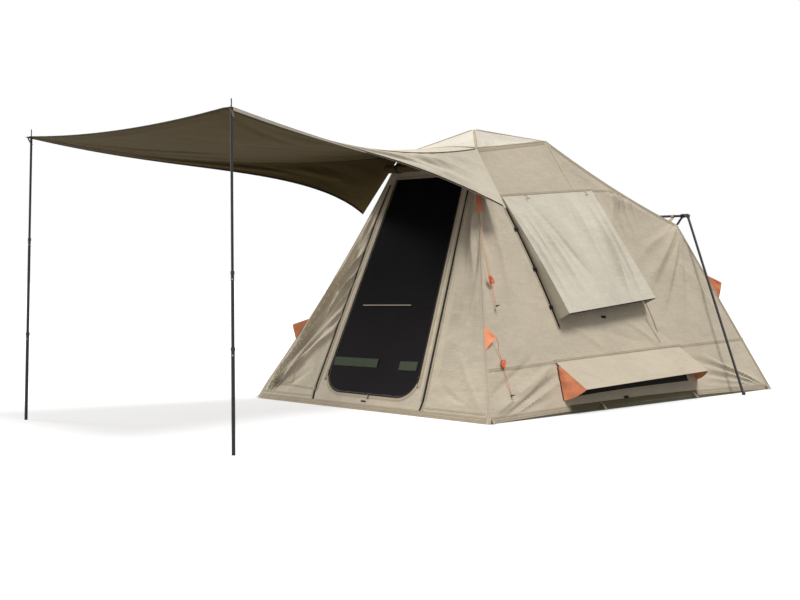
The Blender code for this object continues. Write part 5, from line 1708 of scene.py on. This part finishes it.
def make_front_trim():
    def strip(name, path, width, look, slot="canvas"):
        ribbon(name, front_surface, path, width, look, slot, front_out)

    for side, word in sides:
        for name, shift, first, width, look, slot in (
            ("zip_doorway_", 0.0, 0, 0.020, zipper, "black_webbing"),
            ("zip_doorway_guard_", zip_guard_gap, 0, 0.017, canvas_seam, "canvas"),
            ("zip_doorway_facing_", -zip_guard_gap, 1, 0.017, canvas_seam, "canvas"),
        ):
            line = [(side * (x + shift), z * tall) for x, z in doorway_zip[first:]]
            strip(name + word, rounded_path(line), width, look, slot)
        edge = [(side * (front_width(z) - edge_seam_inset), z * tall) for z in corner_heights]
        strip("seam_front_edge_" + word, path_points(edge), 0.014, canvas)
    turn = np.linspace(0, math.pi / 2, 12)
    rise = door_low + door_corner_radius * (1 - np.cos(turn))
    for name, away, width, look, slot in (
        ("zip_mesh_door", 0.008, 0.014, zipper, "black_webbing"),
        ("binding_mesh_door", 0.028, 0.024, canvas_seam, "canvas"),
    ):
        corner = [
            (door_half(h) + away * math.sin(a), h - away * math.cos(a)) for h, a in zip(rise, turn)
        ]
        foot = [(0.0, door_low - away), (0.15, door_low - away)]
        half = [*foot, *corner, (door_half(door_high) + away, door_high + 0.004)]
        for side, word in sides:
            line = [(side * float(x), float(h)) for x, h in half]
            strip(f"{name}_{word}", rounded_path(line), width, look, slot)
    for name, stops, width, look in front_lines:
        strip(name, path_points(stops), width, look)
    strip("patch_left", path_points(patch_rim, 0.01), 0.006, canvas_hem)


def make_roof_trim():
    """Felled seams over the four rafters, along the rim of the roof top and round the rear roof."""
    f = np.linspace(0.03, 0.97, 40)
    p = np.linspace(-0.97, 0.97, 40)

    def strip(name, surface, a, b, width, out, **more):
        path = np.stack(np.broadcast_arrays(a, b), -1)
        ribbon(name, surface, path, width, canvas_seam, "roof_canvas", out, **more)

    for b, end in ((1, "rear"), (-1, "front")):
        for side, word in sides:
            name = f"seam_rafter_{end}_{word}"
            strip(name, roof_surface, f * side, f * b, 0.045, up, lift=0.0006)
    rims = ((p, -0.965, "front"), (p, 0.965, "rear"), (0.96, p, "right"), (-0.96, p, "left"))
    for a, b, word in rims:
        strip("seam_rim_" + word, roof_surface, a, b, 0.045, up, lift=0.0006)
    for place, word in ((0.02, "top"), (0.98, "foot")):
        strip("seam_rear_roof_" + word, slope_surface, p, place, 0.016, slope_out)
    for place, word in ((-0.97, "left"), (0.97, "right")):
        strip("seam_hip_roof_" + word, slope_surface, place, f, 0.030, slope_out)


def make_piping():
    """Corded edges where two panels meet."""
    z = np.linspace(0.012, rear_eave_height - 0.005, 40)
    for side, word in sides:
        front = front_seam(side, np.linspace(0.012, front_shoulder_height - 0.01, 60))
        front = front + unit(front_out + side_out[side]) * 0.0005
        rear = at(side * front_width(z), side_rear_edge(z), z)
        hip = hip_point(side, np.linspace(0.0, 1.0, 40))
        rim = roof_edge(np.linspace(-1, 1, 30), word)
        cord_mesh("piping_front_" + word, front, 0.0024, canvas, sides=8)
        cord_mesh("piping_rear_" + word, rear, 0.0028, canvas_seam, sides=8)
        cord_mesh("piping_hip_" + word, hip, 0.0030, canvas_seam, sides=8)
        cord_mesh("piping_roof_" + word, rim, 0.0030, canvas_seam, sides=8)
    rim = roof_edge(np.linspace(-0.99, 0.99, 30), "rear")
    cord_mesh("piping_roof_rear", rim, 0.0028, canvas_seam, sides=8)
    x = np.linspace(-1, 1, 30) * front_width(rear_eave_height) * 0.99
    eave = at(x, rear_eave_setback, rear_eave_height)
    cord_mesh("piping_rear_eave", eave, 0.0028, canvas_seam, sides=8)


def make_back_trim():
    def strip(name, stops, width, look):
        ribbon(name, rear_surface, path_points(stops), width, look, "canvas", rear_out)

    for line in back_lines:
        strip(*line)
    for side, word in sides:
        heights = np.linspace(0.05, 1.44, 30)
        edge = [(side * (front_width(z) - edge_seam_inset), z / rear_up[2]) for z in heights]
        strip("seam_back_edge_" + word, edge, 0.020, canvas_seam)


def make_awning_trim():
    """Bound edges, the seams along the creases with dark strips under them as painted shade, a
    painted shadow along the rear edge, and the dark facing under the near edge.
    """
    t = np.linspace(0.004, 0.992, 110)
    across = np.linspace(-1, 1, 4)

    def beside(line, way, distances):
        return line[:, None, :] + way[:, None, :] * distances[None, :, None]

    def strip(name, grid, thickness, look, slot, out=up, offset=0.0):
        cloth(name, grid, thickness, [look], out, offset=offset)

    for side, word in sides:
        line, edge = awning_line(side, t, "crease"), awning_line(side, t, "edge")
        share = np.clip(0.016 / np.linalg.norm(edge - line, axis=-1), 0.01, 0.4)
        grid_t, grid_f = np.meshgrid(t, np.linspace(0.0, 1.0, 4), indexing="ij")
        binding = awning_surface(grid_t, side * (1.996 - share[:, None] * grid_f))
        strip("binding_wing_" + word, binding, 0.0046, dark_tape, "black_webbing", offset=0.0015)
        over = unit(np.cross(unit(np.gradient(line, axis=0)), up)) * side
        seam = beside(line, over, 0.011 * across)
        seam[..., 2] -= np.abs(across) * 0.0022
        strip("seam_crease_" + word, seam, 0.0010, canvas_seam, "awning_canvas", offset=0.0016)
        # Dark strips under each crease: painted shade along the folds.
        column = 35 if side < 0 else -36
        fold = awning_grid[2:-2, column]
        step = unit(awning_grid[2:-2, column + 1] - awning_grid[2:-2, column - 1])
        under = np.cross(unit(np.gradient(fold, axis=0)), step)
        under = under * np.where(under[:, 2:] < 0, 1.0, -1.0)
        below = beside(fold, step, 0.008 * across)
        below = below + under[:, None, :] * (0.0050 - 0.002 * np.abs(across))[None, :, None]
        strip("crease_painted_shade_" + word, below, 0.0020, dark_tape, "awning_canvas", -up)
    share = np.linspace(0.006, 0.46, 60)
    depth = np.interp(share, (0.0, 0.2, 0.46), (0.019, 0.015, 0.006))
    drop = np.linspace(0.1, 1.0, 5)[None, :] * depth[:, None]
    facing = awning_line(1, share, "edge")[:, None, :] + times(drop, np.array((-0.12, 0, -1.0)))
    strip("facing_wing_right", facing + 0.0030 * east, 0.0014, awning_top, "awning_canvas", east)
    w = np.linspace(-0.995, 0.995, 100)
    for name, first, last, thickness, look, slot, offset in (
        ("hem_awning_front", 0.0, 0.011, 0.0044, awning_hem, "awning_canvas", 0.0014),
        # The dark strip along the rear edge is a painted shadow of the gap between the awning and
        # the roof.
        ("painted_shadow_awning_head", 0.992, 0.9995, 0.0040, dark_tape, "black_webbing", 0.0016),
    ):
        grid = awning_surface(*np.meshgrid(np.linspace(first, last, 4), w, indexing="ij"))
        strip(name, grid, thickness, look, slot, offset=offset)


def make_mesh_details():
    """The pale strip and the olive panels seen through the mesh door."""

    def surface(x, height):
        return on_slope(x, height, front_up)

    for name, stops, width, look, slot in (
        ("tape_mesh_door", ((-0.335, 0.785), (0.20, 0.796)), 0.007, beige_web, "webbing"),
        ("ground_strip_left", ((-0.475, 0.345), (0.02, 0.350)), 0.070, olive_mesh, "floor_sheet"),
        ("ground_strip_right", ((0.26, 0.345), (0.445, 0.350)), 0.070, olive_mesh, "floor_sheet"),
    ):
        path = path_points([(x, z * tall) for x, z in stops])
        ribbon(name, surface, path, width, look, slot, front_out, body="mesh_door")


for side, word in sides:
    make_side_trim(side, word)
make_front_trim()
make_roof_trim()
make_piping()
make_back_trim()
make_awning_trim()
make_mesh_details()


# Small hardware: each kind is modelled once about the origin and copied to its places


def begin(add, **values):
    bpy.ops.object.select_all(action="DESELECT")
    add(**values)
    piece = bpy.context.object
    bpy.ops.object.mode_set(mode="EDIT")
    bpy.ops.mesh.select_mode(type="FACE")
    return piece


def pick(piece, test):
    """Selects the faces whose middle passes a test."""
    form = bmesh.from_edit_mesh(piece.data)
    for face in form.faces:
        face.select_set(bool(test(face.calc_center_median())))
    bmesh.update_edit_mesh(piece.data)


def grow(move, resize):
    """Extrudes the picked faces and resizes their far end."""
    bpy.ops.mesh.extrude_region_move(TRANSFORM_OT_translate={"value": move})
    bpy.ops.transform.resize(value=resize)


def finish_piece(bevel, angle=35):
    bpy.ops.mesh.select_all(action="SELECT")
    bpy.ops.mesh.remove_doubles(threshold=0.00002)
    if bevel:
        bpy.ops.mesh.bevel(offset=bevel, segments=2, affect="EDGES", clamp_overlap=True)
    bpy.ops.mesh.normals_make_consistent(inside=False)
    bpy.ops.object.mode_set(mode="OBJECT")
    bpy.ops.object.shade_smooth_by_angle(angle=math.radians(angle))


def model_tab():
    """A folded end of webbing, 40 mm by 16 mm, with a thicker rolled hem at one end."""
    piece = begin(bpy.ops.mesh.primitive_cube_add, size=0.016)
    bpy.ops.mesh.select_all(action="SELECT")
    bpy.ops.transform.resize(value=(1.9, 1.0, 0.16))
    pick(piece, lambda c: c.x > 0.014)
    grow((0.003, 0, 0), (1, 1.0, 1.9))
    grow((0.004, 0, 0), (1, 1.0, 1.0))
    grow((0.001, 0, 0), (1, 0.94, 0.6))
    pick(piece, lambda c: c.x < -0.014)
    grow((-0.004, 0, 0), (1, 0.86, 0.7))
    finish_piece(0.0004)
    return piece


def model_toggle():
    """A turned toggle 36 mm long with a waist for its cord."""
    piece = begin(
        bpy.ops.mesh.primitive_cylinder_add, vertices=14, radius=0.0034, depth=0.006,
        rotation=(0, math.pi / 2, 0),
    )
    for sign in (1, -1):
        pick(piece, lambda c, sign=sign: c.x * sign > 0.0025)
        grow((0.003 * sign, 0, 0), (1, 1.7, 1.7))
        grow((0.008 * sign, 0, 0), (1, 0.95, 0.95))
        grow((0.003 * sign, 0, 0), (1, 0.7, 0.7))
    finish_piece(0.0003, 50)
    return piece


def model_eyelet():
    """A rolled metal ring, 20 mm across."""
    piece = begin(
        bpy.ops.mesh.primitive_circle_add, vertices=10, radius=0.0026, location=(0.0074, 0, 0),
        rotation=(math.pi / 2, 0, 0),
    )
    bpy.ops.mesh.select_mode(type="EDGE")
    bpy.ops.mesh.select_all(action="SELECT")
    bpy.ops.mesh.spin(steps=28, angle=2 * math.pi, center=(0, 0, 0), axis=(0, 0, 1))
    bpy.ops.mesh.select_all(action="SELECT")
    bpy.ops.transform.resize(value=(1, 1, 0.62))
    finish_piece(0, 60)
    return piece


def model_puller():
    """A zip slider with its pull tab."""
    piece = begin(bpy.ops.mesh.primitive_cube_add, size=0.010)
    bpy.ops.mesh.select_all(action="SELECT")
    bpy.ops.transform.resize(value=(1.2, 0.9, 0.5))
    pick(piece, lambda c: c.x > 0.005)
    bpy.ops.mesh.inset(thickness=0.0012)
    grow((0.004, 0, 0.0006), (1, 0.8, 0.7))
    grow((0.004, 0, 0), (1, 1.9, 1.0))
    grow((0.018, 0, 0), (1, 1.15, 1.0))
    grow((0.003, 0, 0), (1, 0.7, 0.8))
    finish_piece(0.0004)
    return piece


def model_cord_end():
    """A black bell over the knotted end of a cord."""
    piece = begin(
        bpy.ops.mesh.primitive_cylinder_add, vertices=14, radius=0.0042, depth=0.006,
        rotation=(0, math.pi / 2, 0),
    )
    pick(piece, lambda c: c.x > 0.0025)
    grow((0.004, 0, 0), (1, 1.25, 1.25))
    grow((0.012, 0, 0), (1, 1.15, 1.15))
    grow((0.003, 0, 0), (1, 0.6, 0.6))
    pick(piece, lambda c: c.x < -0.0025)
    bpy.ops.mesh.inset(thickness=0.0014)
    grow((0.002, 0, 0), (1, 0.9, 0.9))
    finish_piece(0.0003, 50)
    return piece


def model_button():
    """A domed spring button."""
    piece = begin(bpy.ops.mesh.primitive_cylinder_add, vertices=16, radius=0.0040, depth=0.002)
    pick(piece, lambda c: c.z > 0.0008)
    bpy.ops.mesh.inset(thickness=0.0007)
    grow((0, 0, 0.0014), (0.92, 0.92, 1))
    grow((0, 0, 0.0009), (0.7, 0.7, 1))
    finish_piece(0.0002, 50)
    return piece


def model_collar():
    """A moulded ring for the mouth of a pole, 20 mm long and 20 mm across inside."""
    piece = begin(bpy.ops.mesh.primitive_cylinder_add, vertices=24, radius=0.0118, depth=0.020)
    pick(piece, lambda c: abs(c.z) > 0.009)
    bpy.ops.mesh.inset(thickness=0.0018, use_individual=True)
    bpy.ops.mesh.delete(type="FACE")
    bpy.ops.mesh.select_mode(type="EDGE")
    bpy.ops.mesh.select_all(action="DESELECT")
    bpy.ops.mesh.select_non_manifold()
    bpy.ops.mesh.bridge_edge_loops()
    finish_piece(0.0003, 50)
    return piece


def copied(kind, name, look, point, facing, along, body="tent", size=(1, 1, 1)):
    """Copies a kind of piece to a place, its Z along facing and its X near along."""
    z = unit(facing)
    x = np.asarray(along, float)
    x = unit(x - z * float(x @ z))
    y = np.cross(z, x)
    made = placed(name, kind.data.copy())
    turn = Matrix(np.stack([x * size[0], y * size[1], z * size[2]], 1).tolist()).to_4x4()
    made.data.transform(Matrix.Translation(np.asarray(point, float).tolist()) @ turn)
    made.data.materials.clear()
    made.data.materials.append(look)
    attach(made, body)
    return made


def along_pole(side, height):
    """A point of an awning pole's axis, and its direction."""
    top = at(side * (pole_top_half_width - pole_axis_inset), -pole_top_reach, awning_height)
    foot = at(side * (pole_foot_half_width - pole_axis_inset), -pole_foot_reach, 0.0)
    way = unit(top - foot)
    return foot + way * (height / way[2]), way


def on_front(x, height, lift):
    """One point a little way off the front wall."""
    return front_surface(np.array(x), np.array(height)) + front_out * lift


def in_box(points):
    """Whether points lie inside the part's box with a little to spare."""
    low = np.array(cad_low) - 0.006
    high = np.array(cad_high) + 0.006
    return bool(np.all(points >= low) and np.all(points <= high))


def make_hank(label, way):
    """The spare rope, wound up and tied over its runner, on which it slides."""
    body = "rope_runner_" + label
    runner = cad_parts[body]
    spots = np.array([runner.matrix_world @ v.co for v in runner.data.vertices])
    middle = spots.mean(0)
    stand = float(((spots - middle) @ side_out[1]).max()) + 0.006
    over = np.cross(side_out[1], way)
    length = unit(way + over * (0.75 if label == "upper" else -0.75))
    width = np.cross(side_out[1], length)
    turns = np.linspace(0, hank_turns, 170)
    grown = hank_pitch * turns
    a = 2 * math.pi * turns
    route = middle + side_out[1] * stand
    route = route + times(np.cos(a) * (hank_half_length + grown), length)
    route = route + times(np.sin(a) * (hank_half_width + grown), width)
    route = route + times(0.0015 * np.cos(a * 0.5 + 1.0), side_out[1])
    name = "rope_hank_" + label
    made = cord_mesh(name, route, hank_radius, braid, sides=8, body=body)


# A look and its slot, for the small pieces
moulded = (dark_plastic, "black_plastic")
sewn = (dark_tape, "black_webbing")
metal = (steel, "leg_tube")
peg_loops = ((0.05, 0.030, -0.6), (1.30, 0.060, 0.0), (2.55, 0.050, 0.0), (3.70, 0.030, 0.6))


def make_wall_hardware(put, side, word):
    """A side wall's zip tabs and puller, toggles, eyelet and peg loops."""
    out = side_out[side]
    wall = side_surface(side)

    def on_wall(setback, z, lift):
        return wall(np.array(setback), np.array(z)) + out * lift

    spots = windows[side].path(0, (0.28, 0.62, 0.94, 1.08), -window_zip_inset)
    for k, (s, z) in enumerate(spots[:3], 1):
        spot = on_wall(s - tab_shift, z, tab_lift)
        put("tab", f"zip_tab_{k}_{word}", sewn, spot, out, -back, size=(0.95, 1.9, 1.5))
    spot = on_wall(*spots[3], 0.0062)
    put("puller", "zip_puller_window_" + word, moulded, spot, out, -side_up[side])
    for name, s, z in (("tab_below_window_", 1.700, 0.690), ("tab_below_vent_", 1.640, 0.074)):
        spot = on_wall(s - tab_shift, z, tab_lift)
        put("tab", name + word, sewn, spot, out, back, size=(1.2, 1.25, 2.2))
    share = np.linspace(0, 1, 14)
    for k, (s, z) in enumerate(((1.213, 1.650), (2.012, 1.714)), 1):
        top = on_wall(s, z + 0.004, 0.0045)
        tip = top + out * 0.038 - up * 0.040
        line = between(top, tip, share) + times(0.008 * half_wave(share), out)
        cord_mesh(f"toggle_cord_{k}_{word}", line, 0.0013, dark_tape, sides=8)
        put("toggle", f"eave_toggle_{k}_{word}", moulded, tip - up * 0.003, out, back * 0.8 - up)
    corner = vents[side].point(np.array(0.004), np.array(0.006), np.array(0.0), 0.004)
    put("eyelet", "vent_eyelet_" + word, moulded, corner, out, back)
    share = np.linspace(0, 1, 12)
    for k, (s, z, lean) in enumerate(peg_loops, 1):
        away = unit(out * (1, 1, 0) + back * lean)
        reach = away * 0.060 - up * max(z - 0.006, 0.0)
        loop = on_wall(s, z, 0.003) + times(share, reach) + times(0.006 * half_wave(share), up)
        facing = np.cross(away, back)
        facing = facing * np.sign(facing[2] + 1e-9)
        if in_box(loop):
            tape(f"peg_loop_{k}_{word}", loop, facing, 0.020, beige_web, 0.0016)


def make_pole_hardware(put, side, word):
    """An awning pole's buttons, collars and eyelet, its corner's tie, and a puller of the door."""
    aside = np.array((1.0, -1.0, 0))
    for part, top, radius in (
        ("lower_", pole_lower_top, pole_lower_radius),
        ("middle_", pole_middle_top[side], pole_middle_radius),
    ):
        label = part + word
        body = "pole_" + label
        spot, way = along_pole(side, top - button_drop)
        face = unit(aside - way * float(aside @ way))
        spot = spot + face * (radius + 0.0002)
        put("button", "spring_button_" + label, metal, spot, face, way, body=body)
        spot, way = along_pole(side, top - collar_drop)
        wide = (radius + 0.0003) / collar_inside
        size = (wide, wide, 1.0)
        put("collar", "pole_collar_" + label, moulded, spot, way, east, body=body, size=size)
    spike, _ = along_pole(side, awning_height + 0.0036)
    put("eyelet", "awning_eyelet_" + word, metal, spike, up, east, size=(1.0, 1.0, 0.9))
    share = np.linspace(0, 1, 16)
    setback = -(pole_top_reach + awning_margin - 0.010)
    start = at(side * (pole_top_half_width + 0.006), setback, awning_height - 0.006)
    tie = start + times(share, np.array((-side * 0.006, 0.030, -0.050)))
    tie = tie + times(side * 0.008 * half_wave(share), east)
    tape("corner_tie_" + word, tie, (side, -0.4, 0.2), 0.012, beige_web, 0.0012)
    spot = on_front(side * 0.600, 0.150, 0.006)
    put("puller", "zip_puller_door_" + word, moulded, spot, front_out, -front_up)


def make_rope_tag():
    """The folded orange tag above the upper rope's knot."""
    facing = unit(side_out[1] + front_out)
    stand = side_out[1] * 0.0058 + front_out * 0.003
    top, low = (front_seam(1, np.array(z)) + stand for z in (1.655, upper_rope_height + 0.006))
    share = np.linspace(0, 1, 16)
    for name, lift, width, thickness in (
        ("rope_tag", 0.0, 0.044, 0.0022),
        ("rope_tag_fold", 0.0036, 0.020, 0.0018),
    ):
        line = between(top, low, share) + times(lift + 0.003 * half_wave(share), facing)
        tape(name, line, facing, width, orange_cloth, thickness)


def make_hardware():
    kinds = {
        "tab": model_tab(),
        "toggle": model_toggle(),
        "eyelet": model_eyelet(),
        "puller": model_puller(),
        "cord_end": model_cord_end(),
        "button": model_button(),
        "collar": model_collar(),
    }

    def put(kind, name, look, *place, **more):
        copied(kinds[kind], name, look[0], *place, **more)

    for side, word in sides:
        make_wall_hardware(put, side, word)
        make_pole_hardware(put, side, word)
    spot = on_front(0.02, (door_bottom - 0.012) * tall, 0.0060)
    put("puller", "zip_puller_mesh", moulded, spot, front_out, -front_up)
    spot = on_front(-0.02, 0.070, tab_lift)
    put("tab", "tab_doorway_foot", sewn, spot, front_out, east, size=(1.1, 0.7, 1.4))
    for label, spot, lift, before in (
        ("upper", (0.467, 0.800), -0.0048, (0.506, 1.025)),
        ("lower", (0.320, 0.170), 0.0006, (0.324, 0.250)),
    ):
        end = side_plane(1, *spot, rope_lift + lift)
        way = unit(end - side_plane(1, *before))
        place = (end - way * 0.002, side_out[1], way)
        put("cord_end", "cord_bell_" + label, moulded, *place, size=(1.5, 1.5, 1.5))
        make_hank(label, way)
    make_rope_tag()
    for piece in kinds.values():
        bpy.data.objects.remove(piece)


make_hardware()


# Finishes of the rigid CAD nodes


def dress(look, *names):
    for name in names:
        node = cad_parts[name]
        for holder in node.material_slots:
            holder.material = look
        if not node.material_slots:
            node.data.materials.append(look)


def both(*labels):
    """Names of the pieces on the left and on the right."""
    return [f"{label}_{word}" for label in labels for _, word in sides]


dress(pole_coat, *both("pole_lower", "pole_middle", "pole_upper"))
dress(pole_coat, "rear_crossbar", *both("frame_rafter_front", "frame_rafter_rear"))
dress(leg_coat, *both("rear_leg", "frame_leg_front", "frame_leg_rear"))
dress(hub_plastic, "frame_hub", *both("rear_knuckle"))
dress(orange_plastic, "rope_runner_upper", "rope_runner_lower")


# Floor, backdrop and lights


def make_stage():
    """A pale floor that shows white to the camera but keeps the tent's shadow."""
    finish = new_finish("studio_floor")
    seen, shiny, clear = (finish.add("LightPath", out=ray) for ray in (0, 3, 6))
    bright = (seen + shiny + clear).least(1.0)
    matt = finish.add("BsdfDiffuse", None, {"Color": (0.30, 0.29, 0.28, 1)})
    pale = finish.add("BsdfDiffuse", None, {"Color": (0.62, 0.62, 0.62, 1)})
    glow = finish.add("Emission", None, {"Color": (1, 1, 1, 1), "Strength": 0.46})
    lit = finish.add("AddShader", None, {0: pale, 1: glow})
    mixed = finish.add("MixShader", None, {0: bright, 1: matt, 2: lit})
    finish.add("OutputMaterial", None, {0: mixed})
    bpy.ops.object.select_all(action="DESELECT")
    bpy.ops.mesh.primitive_plane_add(size=160, location=(0, 0, -0.0005))
    floor = bpy.context.object
    floor.name = "studio_floor"
    floor.data.materials.append(finish.holder)


def make_world():
    """An even sky, brighter where the camera and shiny things see it."""
    world = bpy.data.worlds.new("studio")
    finish = Finish(world)
    seen = finish.add("LightPath", out=0).most(finish.add("LightPath", out=3))
    level = finish.add("Mix", None, {0: seen, 2: sky_level, 3: 1.0})
    background = finish.add("Background", None, {"Color": (1, 1, 1, 1), "Strength": level})
    finish.add("OutputWorld", None, {0: background})
    bpy.context.scene.world = world


def make_sun(name, way, strength, spread):
    data = bpy.data.lights.new(name, "SUN")
    data.energy = strength
    data.angle = math.radians(spread)
    data.color = (1.0, 0.985, 0.96)
    aim(placed(name, data), way, "Z")


sky_level = 0.40
make_stage()
make_world()
make_sun("key", (0.40, 0.12, 0.90), 2.3, 22)
make_sun("fill", (-0.45, -0.85, 0.26), 0.55, 30)
make_sun("side", (-0.80, -0.36, 0.42), 2.0, 18)

bpy.context.scene.view_settings.view_transform = "Standard"
